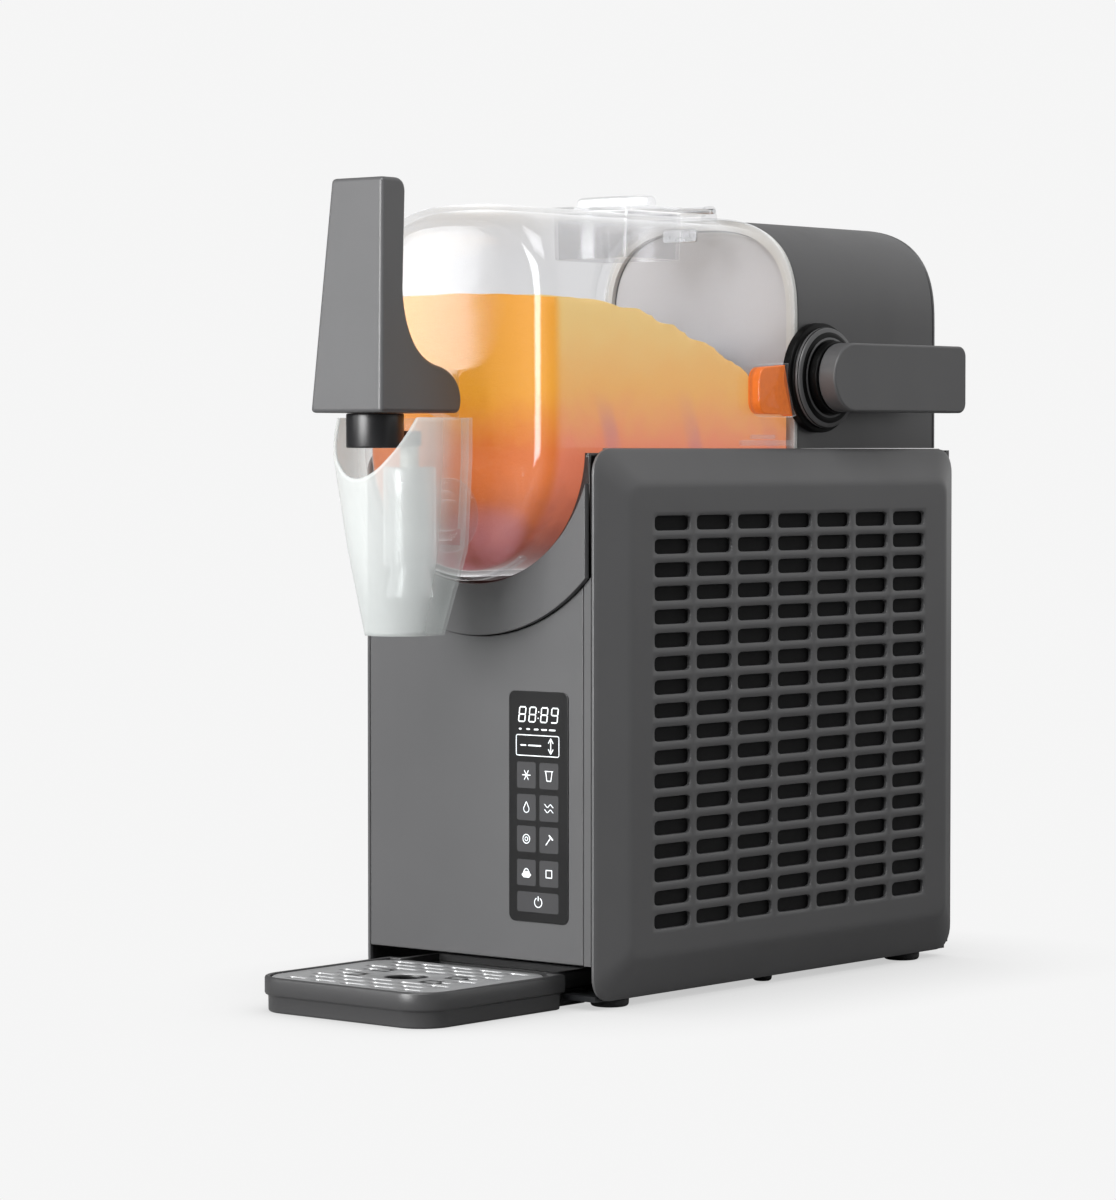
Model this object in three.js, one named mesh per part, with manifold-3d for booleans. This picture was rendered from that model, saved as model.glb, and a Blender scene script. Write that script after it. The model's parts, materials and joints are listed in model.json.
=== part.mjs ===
// Countertop slush machine: a vented cooling housing, a rear drive tower, a clear vessel with an
// auger turning round a cold drum, a spout with a hanging handle, and two slide-out trays.
// Millimetres. X is to the right seen from the front, Y runs to the back, Z is up, and the
// machine stands on Z = 0. Sizes inside the "machine" group are measured from the middle plane
// (X = 0) and from the front panel's face (Y = 0); the group then centres the whole on its box.
import * as THREE from "three";
import { mergeVertices } from "three/addons/utils/BufferGeometryUtils.js";
import Module from "manifold-3d";

const wasm = await Module();
wasm.setup();

// Driving dimensions.
const DEPTH = 331; // housing, front panel face to rear panel face
const RIM_HALF = 81.3; // side panel rim, where its bevel starts
const FACE_HALF = 89.3; // side panel's vented face
const HOUSING_BOTTOM = 4.5;
const HOUSING_TOP = 298.8;
const DECK_TOP = 299;
const WALL = 2.5;
const GAP = 0.3; // between fixed pieces that meet
const INNER_HALF = 79.2; // plates that stand between the two side panels
const AXIS_Z = 299.6; // axis of the drum, the auger and the vessel's round bottom
const VESSEL_HALF = 70;
const SHOULDER_Z = 370; // where the vessel's and the tower's sides turn into the crowned top
const CROWN = 60; // height of the crowned top over the shoulder
const CROWN_POWER = 2.8; // squareness of the crowned top
const VESSEL_WALL = 3;
const VESSEL_FRONT = -22;
const TOWER_FRONT = 195;
const OVERALL_TOP = 440;
const TRAY_FRONT = -113;
const LEVER_Y = 210;
const LEVER_Z = 339;
const LEVER_OUT = 99;
const HANDLE_PIVOT_Y = -50;
const HANDLE_PIVOT_Z = 329;
const SPOUT_Y = -55;
const STEM_Y = -82;
const LID_HINGE_Y = 172;
const LID_HINGE_Z = 433.2;
const GLAND_OUT = 335;
const GEAR_TEETH = 24;
const PINION_TEETH = 8;
const GEAR_MODULE = 2.4;
const GEAR_SPACING = ((GEAR_TEETH + PINION_TEETH) * GEAR_MODULE) / 2 + 0.2;
const ROUND = 20; // sides of a turned piece

// ---- geometry helpers -------------------------------------------------------------------

function solidFrom(geometry) {
  const bare = geometry.index ? geometry.clone() : mergeVertices(geometry.clone(), 1e-4);
  bare.deleteAttribute("normal");
  bare.deleteAttribute("uv");
  const merged = mergeVertices(bare, 1e-4);
  const vertProperties = new Float32Array(merged.attributes.position.array);
  const triVerts = new Uint32Array(merged.index.array);
  const made = new wasm.Manifold(new wasm.Mesh({ numProp: 3, vertProperties, triVerts }));
  if (made.volume() > 0) return made;
  for (let i = 0; i < triVerts.length; i += 3) {
    [triVerts[i + 1], triVerts[i + 2]] = [triVerts[i + 2], triVerts[i + 1]];
  }
  return new wasm.Manifold(new wasm.Mesh({ numProp: 3, vertProperties, triVerts }));
}

function geometryFrom(solid) {
  const mesh = solid.getMesh();
  const positions = new Float32Array(mesh.numVert * 3);
  for (let i = 0; i < mesh.numVert; i++) {
    const at = i * mesh.numProp;
    positions.set(mesh.vertProperties.subarray(at, at + 3), i * 3);
  }
  const geometry = new THREE.BufferGeometry();
  geometry.setAttribute("position", new THREE.BufferAttribute(positions, 3));
  geometry.setIndex(new THREE.BufferAttribute(new Uint32Array(mesh.triVerts), 1));
  const flat = geometry.toNonIndexed();
  flat.computeVertexNormals();
  return flat;
}

// The solid of base with every piece of added joined on and every piece of removed cut away.
function combine(base, added = [], removed = []) {
  let solid = solidFrom(base);
  for (const piece of added) {
    solid = solid.add(solidFrom(piece));
  }
  for (const piece of removed) {
    solid = solid.subtract(solidFrom(piece));
  }
  return geometryFrom(solid);
}

function box(x0, x1, y0, y1, z0, z1) {
  const geometry = new THREE.BoxGeometry(x1 - x0, y1 - y0, z1 - z0);
  return geometry.translate((x0 + x1) / 2, (y0 + y1) / 2, (z0 + z1) / 2);
}

const AXIS_TURNS = {
  x: (g) => g.rotateZ(-Math.PI / 2),
  y: (g) => g,
  z: (g) => g.rotateX(Math.PI / 2),
};

// A closed cylinder from one end to the other along an axis through the point (a, b) of the two
// other axes, in X, Y, Z order.
function rod(axis, radius, from, to, a = 0, b = 0, sides = ROUND, endRadius = radius) {
  const geometry = new THREE.CylinderGeometry(endRadius, radius, to - from, sides);
  AXIS_TURNS[axis](geometry);
  const middle = (from + to) / 2;
  if (axis === "x") return geometry.translate(middle, a, b);
  if (axis === "y") return geometry.translate(a, middle, b);
  return geometry.translate(a, b, middle);
}

// A ring with a round hole, extruded along an axis.
function ring(axis, outer, inner, from, to, a = 0, b = 0, sides = ROUND) {
  return combine(rod(axis, outer, from, to, a, b, sides), [], [
    rod(axis, inner, from - 1, to + 1, a, b, sides),
  ]);
}

// A shape drawn in X and Z, extruded along Y.
function extrudeAlongY(shape, y0, y1, segments = 12) {
  const settings = { depth: y1 - y0, bevelEnabled: false, curveSegments: segments };
  const geometry = new THREE.ExtrudeGeometry(shape, settings);
  return geometry.rotateX(Math.PI / 2).translate(0, y1, 0);
}

// A shape drawn in Y and Z, extruded along X.
function extrudeAlongX(shape, x0, x1, segments = 12) {
  const settings = { depth: x1 - x0, bevelEnabled: false, curveSegments: segments };
  const geometry = new THREE.ExtrudeGeometry(shape, settings);
  const turn = new THREE.Matrix4().makeBasis(
    new THREE.Vector3(0, 1, 0),
    new THREE.Vector3(0, 0, 1),
    new THREE.Vector3(1, 0, 0),
  );
  return geometry.applyMatrix4(turn).translate(x0, 0, 0);
}

// A shape drawn in X and Y, extruded along Z.
function extrudeAlongZ(shape, z0, z1, segments = 12) {
  const settings = { depth: z1 - z0, bevelEnabled: false, curveSegments: segments };
  return new THREE.ExtrudeGeometry(shape, settings).translate(0, 0, z0);
}

function outlineShape(points) {
  return new THREE.Shape(points.map(([a, b]) => new THREE.Vector2(a, b)));
}

// The corner points of a rectangle with round corners, steps segments to each corner.
function roundedOutline(a0, a1, b0, b1, radius, steps = 4) {
  const centres = [
    [a1 - radius, b1 - radius],
    [a0 + radius, b1 - radius],
    [a0 + radius, b0 + radius],
    [a1 - radius, b0 + radius],
  ];
  const points = [];
  centres.forEach(([ca, cb], corner) => {
    for (let i = 0; i <= steps; i++) {
      const angle = (corner + i / steps) * (Math.PI / 2);
      points.push([ca + radius * Math.cos(angle), cb + radius * Math.sin(angle)]);
    }
  });
  return points;
}

// A closed convex body through rings of points, all with the same number of points, closed by
// a fan at each end.
function loft(rings) {
  const count = rings[0].length;
  const positions = rings.flat(2);
  const index = [];
  for (let r = 0; r + 1 < rings.length; r++) {
    for (let i = 0; i < count; i++) {
      const a = r * count + i;
      const b = r * count + ((i + 1) % count);
      index.push(a, b, b + count, a, b + count, a + count);
    }
  }
  const last = (rings.length - 1) * count;
  for (let i = 1; i + 1 < count; i++) {
    index.push(0, i + 1, i);
    index.push(last, last + i, last + i + 1);
  }
  const geometry = new THREE.BufferGeometry();
  geometry.setAttribute("position", new THREE.Float32BufferAttribute(positions, 3));
  geometry.setIndex(index);
  return geometry;
}

// The crowned top as [x, z] points from right to left, for a body of the given half width.
function crownPoints(half, steps = 14) {
  const rise = CROWN - (VESSEL_HALF - half);
  const points = [];
  for (let i = 0; i <= steps; i++) {
    const angle = (i / steps) * Math.PI;
    const c = Math.cos(angle);
    const s = Math.max(Math.sin(angle), 0);
    const x = half * Math.sign(c) * Math.abs(c) ** (2 / CROWN_POWER);
    points.push([x, SHOULDER_Z + rise * s ** (2 / CROWN_POWER)]);
  }
  return points;
}

// The vessel's section: a round bottom about the drum's axis, straight sides, a crowned top.
function vesselSection(half, steps = 14) {
  const points = crownPoints(half, steps);
  for (let i = 0; i <= steps; i++) {
    const angle = Math.PI + (i / steps) * Math.PI;
    points.push([half * Math.cos(angle), AXIS_Z + half * Math.sin(angle)]);
  }
  return points;
}

function sectionAt(y, half) {
  return vesselSection(half).map(([x, z]) => [x, y, z]);
}

// A gear blank with straight-flanked teeth about the Y axis, with one tooth or gap upwards.
function gear(teeth, y0, y1, bore, phase) {
  const pitch = (teeth * GEAR_MODULE) / 2;
  const radii = [pitch - 1.8, pitch - 1.8, pitch + 1.1, pitch + 1.1];
  const corners = [-0.3, 0.3, 0.42, 0.58]; // places within one tooth pitch
  const points = [];
  for (let tooth = 0; tooth < teeth; tooth++) {
    corners.forEach((corner, i) => {
      const angle = ((tooth + corner + phase) / teeth) * 2 * Math.PI;
      points.push([radii[i] * Math.sin(-angle), radii[i] * Math.cos(angle)]);
    });
  }
  return combine(extrudeAlongY(outlineShape(points), y0, y1), [], [
    rod("y", bore, y0 - 1, y1 + 1),
  ]);
}

// ---- finishes and scene graph -------------------------------------------------------------

function finish(color, roughness, metalness = 0, opacity = 1) {
  return { color, roughness, metalness, opacity, transparent: opacity < 1 };
}

const GREY_SHELL = finish(0x4b4c4e, 0.42);
const BLACK_PLASTIC = finish(0x0d0d0e, 0.4);
const CLEAR_PLASTIC = finish(0xf2f5f6, 0.08, 0, 0.3);
const FROSTED_PLASTIC = finish(0xe6ece9, 0.45, 0, 0.6);
const BLACK_GLASS = finish(0x050505, 0.06);
const RUBBER = finish(0x16161a, 0.85);
const FOAM = finish(0x08080a, 0.95);
const WHITE_SEAL = finish(0xd9d9d6, 0.7);
const STEEL = finish(0xb9bcc0, 0.3, 1);
const DARK_STEEL = finish(0x303236, 0.5, 0.8);
const COPPER = finish(0xb5693d, 0.3, 1);
const ALUMINIUM = finish(0xa9adb1, 0.4, 1);
const BOARD = finish(0x1f5b3a, 0.6);
const WHITE_NYLON = finish(0xe7e5df, 0.5);
const DARK_PLASTIC = finish(0x2c2c30, 0.4);
const GRILLE_METAL = finish(0x8d9093, 0.35, 0.8);

function addPart(parent, name, geometry, look) {
  const mesh = new THREE.Mesh(geometry, new THREE.MeshStandardMaterial({ ...look }));
  mesh.name = name;
  parent.add(mesh);
  return mesh;
}

function groupAt(parent, x, y, z) {
  const made = new THREE.Group();
  made.position.set(x, y, z);
  parent.add(made);
  return made;
}

const SIDES = [
  ["left", -1],
  ["right", 1],
];

// ---- housing --------------------------------------------------------------------------------

function basePlate(parent) {
  const plate = box(-INNER_HALF, INNER_HALF, 3.5, DEPTH - 3.5, HOUSING_BOTTOM, HOUSING_BOTTOM + 3);
  const trayNotch = box(-57, 57, 0, 33, 0, 20);
  addPart(parent, "base_plate", combine(plate, [], [trayNotch]), DARK_STEEL);
}

function feet(parent) {
  const places = [
    ["front", 70, 27, 10.5],
    ["rear", 70, 297, 10.5],
    ["middle", 68, 165, 5.5],
  ];
  for (const [place, x, y, radius] of places) {
    for (const [side, sign] of SIDES) {
      const foot = rod("z", radius - 1, 0, HOUSING_BOTTOM - GAP, 0, 0, 20, radius);
      addPart(parent, `foot_${place}_${side}`, foot, RUBBER).position.set(sign * x, y, 0);
    }
  }
}

const VENT_COLUMNS = 7;
const VENT_ROWS = 18;
const VENT_FIRST_Y = 57.1;
const VENT_PITCH_Y = 36.5;
const VENT_FIRST_Z = 44.8;
const VENT_PITCH_Z = 12.59;
const VENT_LENGTH = 31;
const VENT_HEIGHT = 7.9;

function ventSlots(sign) {
  const slots = [];
  for (let column = 0; column < VENT_COLUMNS; column++) {
    for (let row = 0; row < VENT_ROWS; row++) {
      const y = VENT_FIRST_Y + column * VENT_PITCH_Y;
      const z = VENT_FIRST_Z + row * VENT_PITCH_Z;
      const [y0, y1] = [y - VENT_LENGTH / 2, y + VENT_LENGTH / 2];
      const [z0, z1] = [z - VENT_HEIGHT / 2, z + VENT_HEIGHT / 2];
      const [x0, x1] = sign > 0 ? [84, 92] : [-92, -84];
      slots.push(box(x0, x1, y0, y1, z0, z1));
    }
  }
  return slots;
}

// A dished moulding: a rim, a wide bevel, and a flat vented face standing 8 mm proud of the rim.
function sidePanel(parent, side, sign) {
  const rim = roundedOutline(0, DEPTH, HOUSING_BOTTOM, HOUSING_TOP, 13);
  const face = roundedOutline(22, 314, 25.8, 280.3, 8);
  const inRim = roundedOutline(WALL, DEPTH - WALL, HOUSING_BOTTOM + WALL, HOUSING_TOP - WALL, 11);
  const inFace = roundedOutline(23.5, 312.5, 27.3, 278.8, 7);
  const ringAt = (x, outline) => outline.map(([y, z]) => [sign * x, y, z]);
  const outer = loft([ringAt(INNER_HALF + GAP, rim), ringAt(RIM_HALF, rim), ringAt(FACE_HALF, face)]);
  const inner = loft([ringAt(INNER_HALF - 1, inRim), ringAt(80.6, inRim), ringAt(FACE_HALF - 2.3, inFace)]);
  const panel = combine(outer, [], [inner, ...ventSlots(sign)]);
  addPart(parent, `side_panel_${side}`, panel, GREY_SHELL);
}

// A dark foam sheet behind the vents.
function dustFilter(parent, side, sign) {
  const [x0, x1] = sign > 0 ? [84, 86] : [-86, -84];
  addPart(parent, `dust_filter_${side}`, box(x0, x1, 32, 302, 34, 270), FOAM);
}

const APRON_Z = 309; // centre of the crescent under the vessel
const APRON_OUTER = 111;
const APRON_INNER = 83;
const GLASS = { x0: 22.5, x1: 64, z0: 45, z1: 169, corner: 4 };

function frontPanel(parent) {
  const plate = box(-INNER_HALF, INNER_HALF, 0, 3, 24, 240);
  const shelf = box(-42, 42, 2, 72, 202.2, 205.6);
  const crescentRoom = rod("y", APRON_OUTER + GAP, -1, 3.2, 0, APRON_Z, 64);
  const window = box(
    GLASS.x0 - GAP,
    GLASS.x1 + GAP,
    -1,
    4,
    GLASS.z0 - GAP,
    GLASS.z1 + GAP,
  );
  const panel = combine(plate, [shelf], [crescentRoom, window]);
  addPart(parent, "front_panel", panel, GREY_SHELL);
}

function controlPanel(parent) {
  const outline = roundedOutline(GLASS.x0, GLASS.x1, GLASS.z0, GLASS.z1, GLASS.corner, 3);
  addPart(parent, "control_glass", extrudeAlongY(outlineShape(outline), -0.6, 2.4), BLACK_GLASS);
  const board = box(18, 68, 5, 6.6, 40, 174);
  const chip = box(36, 50, 6, 10, 90, 104);
  const socket = box(40, 56, 6, 14, 50, 58);
  addPart(parent, "control_board", combine(board, [chip, socket]), BOARD);
}

function rearPanel(parent) {
  const plate = box(-INNER_HALF, INNER_HALF, DEPTH - 3, DEPTH, 8, 298);
  const slots = [];
  for (let row = 0; row < 9; row++) {
    const z = 60 + row * 14;
    slots.push(box(-50, 50, DEPTH - 5, DEPTH + 1, z, z + 6));
  }
  const glandHole = rod("y", 7.4, DEPTH - 5, DEPTH + 1, 52, 32, 14);
  addPart(parent, "rear_panel", combine(plate, [], [...slots, glandHole]), GREY_SHELL);
  const barrel = rod("y", 7, DEPTH - 14, GLAND_OUT, 52, 32, 14);
  const flange = rod("y", 9.5, DEPTH + GAP, GLAND_OUT - 1, 52, 32, 14);
  const bore = rod("y", 3.6, DEPTH - 20, GLAND_OUT + 1, 52, 32, 14);
  addPart(parent, "cord_gland", combine(barrel, [flange], [bore]), RUBBER);
}

function topDeck(parent) {
  const plate = box(-INNER_HALF, INNER_HALF, 6.3, DEPTH - 3.3, DECK_TOP - WALL, DECK_TOP);
  const vesselRoom = box(-74.5, 74.5, 0, TOWER_FRONT + 1, 280, 310);
  const driveRoom = box(-60, 60, TOWER_FRONT - 1, DEPTH - 14, 280, 310);
  addPart(parent, "top_deck", combine(plate, [], [vesselRoom, driveRoom]), GREY_SHELL);
}

// The dark trough that the vessel's round bottom lies in, with a front wall that has the slot
// for the condensate tray.
function cradle(parent) {
  const wall = box(-INNER_HALF, INNER_HALF, 3.3, 6, 199, DECK_TOP - WALL - GAP);
  const trough = rod("y", 75.5, 5, TOWER_FRONT - 0.6, 0, AXIS_Z, 48);
  const hollow = rod("y", 73, 0, TOWER_FRONT + 1, 0, AXIS_Z, 48);
  const above = box(-80, 80, 0, TOWER_FRONT + 1, DECK_TOP - WALL - GAP, 400);
  const slot = box(-38.6, 38.6, 0, 7, 198, 221.6);
  const shelfRoom = box(-42.6, 42.6, 0, 7, 198, 206);
  const made = combine(wall, [trough], [hollow, above, slot, shelfRoom]);
  addPart(parent, "vessel_cradle", made, BLACK_PLASTIC);
}

function towerSection(half, bottom) {
  return [...crownPoints(half), [-half, bottom], [half, bottom]];
}

function tower(parent) {
  const bottom = DECK_TOP + GAP;
  const at = (y, half, low) => towerSection(half, low).map(([x, z]) => [x, y, z]);
  const outer = loft([at(TOWER_FRONT, 69.5, bottom), at(DEPTH - 3.3, 69.5, bottom)]);
  const inner = loft([at(TOWER_FRONT + 3, 67, 290), at(DEPTH, 67, 290)]);
  const drumHole = rod("y", 44.6, TOWER_FRONT - 1, TOWER_FRONT + 4, 0, AXIS_Z, 36);
  const shaftHole = rod("x", 5, -75, 75, LEVER_Y, LEVER_Z);
  addPart(parent, "tower_shell", combine(outer, [], [inner, drumHole, shaftHole]), GREY_SHELL);
  const lid = loft([at(DEPTH - 3, 69.5, bottom), at(DEPTH, 69.5, bottom)]);
  const screwHoles = SCREW_PLACES.map(([x, z]) => rod("y", 2.3, 300, DEPTH + 1, x, z, 12));
  addPart(parent, "tower_back_cover", combine(lid, [], screwHoles), GREY_SHELL);
  SCREW_PLACES.forEach(([x, z], i) => {
    const head = rod("y", 4, 0, 2, 0, 0, 12);
    const shank = rod("y", 2, -9, 1, 0, 0, 12);
    const screw = addPart(parent, `cover_screw_${i + 1}`, combine(head, [shank]), STEEL);
    screw.position.set(x, DEPTH + GAP, z);
  });
}

const SCREW_PLACES = [
  [-58, 312],
  [58, 312],
];

// ---- cooling --------------------------------------------------------------------------------

const FAN_Y = 120;
const FAN_Z = 120;

function coolingUnit(parent) {
  const can = [
    [0, 12],
    [40, 12],
    [46, 24],
    [46, 96],
    [38, 118],
    [18, 128],
    [0, 130],
  ].map(([r, z]) => new THREE.Vector2(r, z));
  const compressor = new THREE.LatheGeometry(can, ROUND).rotateX(Math.PI / 2);
  addPart(parent, "compressor", compressor, DARK_STEEL).position.set(10, 262, 0);

  const core = box(62, 74, 54, 186, 60, 180);
  addPart(parent, "condenser", combine(core, [], finGaps()), ALUMINIUM);

  const plate = box(44, 48, 60, 180, 60, 180);
  const throat = rod("x", 53, 40, 50, FAN_Y, FAN_Z, 32);
  addPart(parent, "fan_shroud", combine(plate, [], [throat]), BLACK_PLASTIC);
  const motor = rod("x", 16, 2, 30, FAN_Y, FAN_Z);
  const bracket = box(8, 14, 58, 182, FAN_Z - 5, FAN_Z + 5);
  addPart(parent, "fan_motor", combine(motor, [bracket]), DARK_STEEL);

  const drier = rod("z", 8, 160, 230, -58, 262, 16);
  addPart(parent, "filter_drier", drier, COPPER);
  addPart(parent, "discharge_pipe", pipe(DISCHARGE_ROUTE, 3), COPPER);
  addPart(parent, "suction_pipe", pipe(SUCTION_ROUTE, 4), COPPER);
  const board = box(-74, -72, 206, 316, 30, 140);
  const coil = box(-72.5, -52, 215, 245, 90, 120);
  const relay = box(-72.5, -56, 265, 290, 50, 80);
  addPart(parent, "power_board", combine(board, [coil, relay]), BOARD);
}

// Grooves that leave the condenser as a block of upright fins joined at its tube plane.
function finGaps() {
  const gaps = [];
  for (let i = 0; i < 11; i++) {
    const y = 58 + i * 11.4;
    gaps.push(box(60, 66, y, y + 6, 64, 176));
    gaps.push(box(70, 76, y, y + 6, 64, 176));
  }
  return gaps;
}

const DISCHARGE_ROUTE = [
  [10, 262, 131],
  [10, 262, 160],
  [20, 240, 190],
  [42, 215, 202],
  [60, 192, 204],
  [68, 174, 198],
  [68, 172, 181.5],
];

const SUCTION_ROUTE = [
  [-42.5, 206.2, 299],
  [-42.8, 216, 297],
  [-46, 228, 280],
  [-44, 245, 220],
  [-22, 262, 160],
  [-14, 262, 128.5],
];

function pipe(route, radius) {
  const curve = new THREE.CatmullRomCurve3(route.map((p) => new THREE.Vector3(...p)));
  const section = new THREE.Shape().absarc(0, 0, radius, 0, Math.PI * 2);
  const settings = { steps: 14, extrudePath: curve, bevelEnabled: false, curveSegments: 5 };
  return combine(new THREE.ExtrudeGeometry(section, settings));
}

function fan(parent) {
  const hub = rod("x", 14, 0, 12, 0, 0);
  const blades = [];
  for (let i = 0; i < 5; i++) {
    const blade = new THREE.BoxGeometry(3, 22, 38);
    blade.rotateZ(0.6).translate(6, 0, 31);
    blades.push(blade.rotateX((i / 5) * 2 * Math.PI));
  }
  addPart(groupAt(parent, 32.5, FAN_Y, FAN_Z), "fan_blades", combine(hub, blades), BLACK_PLASTIC);
}

// ---- drive ------------------------------------------------------------------------------------

function drive(parent) {
  const bottom = AXIS_Z - GEAR_SPACING - 26;
  const block = box(-37, 37, 211, 238, bottom, 333.5);
  const hollow = box(-34, 34, 214, 240, bottom + 3, 330.8);
  const shaftBore = rod("y", 6.1, 205, 245, 0, AXIS_Z);
  addPart(parent, "gearbox_housing", combine(block, [], [hollow, shaftBore]), ALUMINIUM);
  const cover = box(-37, 37, 238 + GAP, 242, bottom, 333.5);
  const pinionBore = rod("y", 4.1, 230, 245, 0, AXIS_Z - GEAR_SPACING);
  addPart(parent, "gearbox_cover", combine(cover, [], [shaftBore, pinionBore]), ALUMINIUM);
  const motorZ = AXIS_Z - GEAR_SPACING;
  const can = rod("y", 26, 243, 312, 0, motorZ);
  const boss = rod("y", 12, 310, 318, 0, motorZ);
  const bore = rod("y", 4.1, 240, 262, 0, motorZ);
  addPart(parent, "drive_motor", combine(can, [boss], [bore]), DARK_STEEL);
  const seal = ring("y", 10, 6.1, 206, 210.7, 0, AXIS_Z);
  addPart(parent, "shaft_seal", seal, WHITE_SEAL);
}

const DRUM_RADIUS = 44;
const DRUM_FRONT = 14;
const DRUM_REAR = 205;

// A closed-ended cold cylinder, open at the back, with a sleeve down the middle for the shaft.
function evaporator(parent) {
  const profile = [
    [6.1, DRUM_FRONT],
    [DRUM_RADIUS - 6, DRUM_FRONT],
    [DRUM_RADIUS, DRUM_FRONT + 6],
    [DRUM_RADIUS, DRUM_REAR],
    [DRUM_RADIUS - 3, DRUM_REAR],
    [DRUM_RADIUS - 3, DRUM_FRONT + 8],
    [9, DRUM_FRONT + 8],
    [9, DRUM_REAR],
    [6.1, DRUM_REAR],
    [6.1, DRUM_FRONT],
  ].map(([r, y]) => new THREE.Vector2(r, y));
  const drum = combine(new THREE.LatheGeometry(profile, ROUND));
  addPart(parent, "evaporator_drum", drum, STEEL).position.set(0, 0, AXIS_Z);
}

const AUGER_INNER = 46;
const AUGER_OUTER = 65.3;
const AUGER_TURNS = 2.5;

// One blade of rectangular section that winds round the drum from the front hub to its back end.
function augerBlade(y0, y1, thickness) {
  const steps = AUGER_TURNS * 24;
  const rings = [];
  for (let i = 0; i <= steps; i++) {
    const along = i / steps;
    const angle = along * AUGER_TURNS * 2 * Math.PI;
    const y = y0 + along * (y1 - y0);
    const [s, c] = [Math.sin(angle), Math.cos(angle)];
    rings.push([
      [AUGER_INNER * s, y, AUGER_INNER * c],
      [AUGER_OUTER * s, y, AUGER_OUTER * c],
      [AUGER_OUTER * s, y + thickness, AUGER_OUTER * c],
      [AUGER_INNER * s, y + thickness, AUGER_INNER * c],
    ]);
  }
  return loft(rings);
}

function auger(parent) {
  const group = groupAt(parent, 0, 0, AXIS_Z);
  addPart(group, "drive_shaft", rod("y", 6, -2, 237), STEEL);
  const hub = rod("y", 14, 1, 11);
  const rimRing = ring("y", AUGER_OUTER, 56, 2, 10, 0, 0, 36);
  const spokes = [0, 1, 2].map((i) =>
    box(-6, 6, 2, 10, 8, 58).rotateY((i * 2 * Math.PI) / 3),
  );
  const bars = [0, 1, 2].map((i) =>
    box(-3, 3, 6, 190, AUGER_INNER, 53).rotateY((i * 2 * Math.PI) / 3 + 0.4),
  );
  const blade = augerBlade(5, 182, 6);
  const bore = rod("y", 6 + GAP, -5, 15);
  const made = combine(hub, [rimRing, ...spokes, ...bars, blade], [bore]);
  addPart(group, "auger", made, DARK_PLASTIC);
  const nut = combine(rod("y", 10, -8, 0.7, 0, 0, 12), [], [rod("y", 6 + GAP, -5, 2)]);
  addPart(group, "auger_nut", nut, BLACK_PLASTIC);
  addPart(group, "drive_gear", gear(GEAR_TEETH, 218, 228, 6 + GAP, 0.5), WHITE_NYLON);
}

function pinion(parent) {
  const group = groupAt(parent, 0, 0, AXIS_Z - GEAR_SPACING);
  const shaft = rod("y", 4, 216, 258);
  const made = combine(gear(PINION_TEETH, 218, 228, 1, 0), [shaft]);
  addPart(group, "motor_pinion", made, STEEL);
}

// ---- lock lever ---------------------------------------------------------------------------------

function leverCollar(parent) {
  const disc = rod("x", 31, 70.3, 76);
  const step = rod("x", 28.5, 75, 81.3);
  const bore = rod("x", 4.1, 60, 90);
  const made = combine(disc, [step], [bore]);
  addPart(parent, "lever_collar", made, BLACK_PLASTIC).position.set(0, LEVER_Y, LEVER_Z);
}

// The lever swings about its shaft: straight back when locked, upright when free.
function lever(parent) {
  const group = groupAt(parent, 0, LEVER_Y, LEVER_Z);
  const half = 19.4;
  const reach = 110;
  const corner = 6;
  const outline = new THREE.Shape();
  outline.absarc(0, 0, half, Math.PI / 2, (3 * Math.PI) / 2, false);
  outline.lineTo(reach - corner, -half);
  outline.absarc(reach - corner, -half + corner, corner, -Math.PI / 2, 0, false);
  outline.absarc(reach - corner, half - corner, corner, 0, Math.PI / 2, false);
  const arm = extrudeAlongX(outline, 87, LEVER_OUT, 8);
  const hub = rod("x", 20.5, 81.7, 88);
  const bore = rod("x", 4 + GAP, 70, 90);
  addPart(group, "lock_lever", combine(arm, [hub], [bore]), GREY_SHELL);
  addPart(group, "lever_shaft", rod("x", 4, -76, 89.6), STEEL);
  const nose = 11;
  for (const [side, sign] of SIDES) {
    const [x0, x1] = sign > 0 ? [58, 64] : [-64, -58];
    const cam = combine(rod("x", 9, x0, x1, 0, 0), [box(x0, x1, -4, 4, 0, nose)], [
      rod("x", 4 + GAP, x0 - 1, x1 + 1),
    ]);
    addPart(group, `lock_cam_${side}`, cam, STEEL);
  }
  const cap = combine(rod("x", 12, -80, -70.3), [], [rod("x", 4 + GAP, -77, -70)]);
  addPart(group, "lever_shaft_cap", cap, BLACK_PLASTIC);
}

// ---- vessel -------------------------------------------------------------------------------------

const PORT = { half: 27, y0: 97, y1: 141, bottom: 404 };
const VESSEL_REAR = 191.3;

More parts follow.
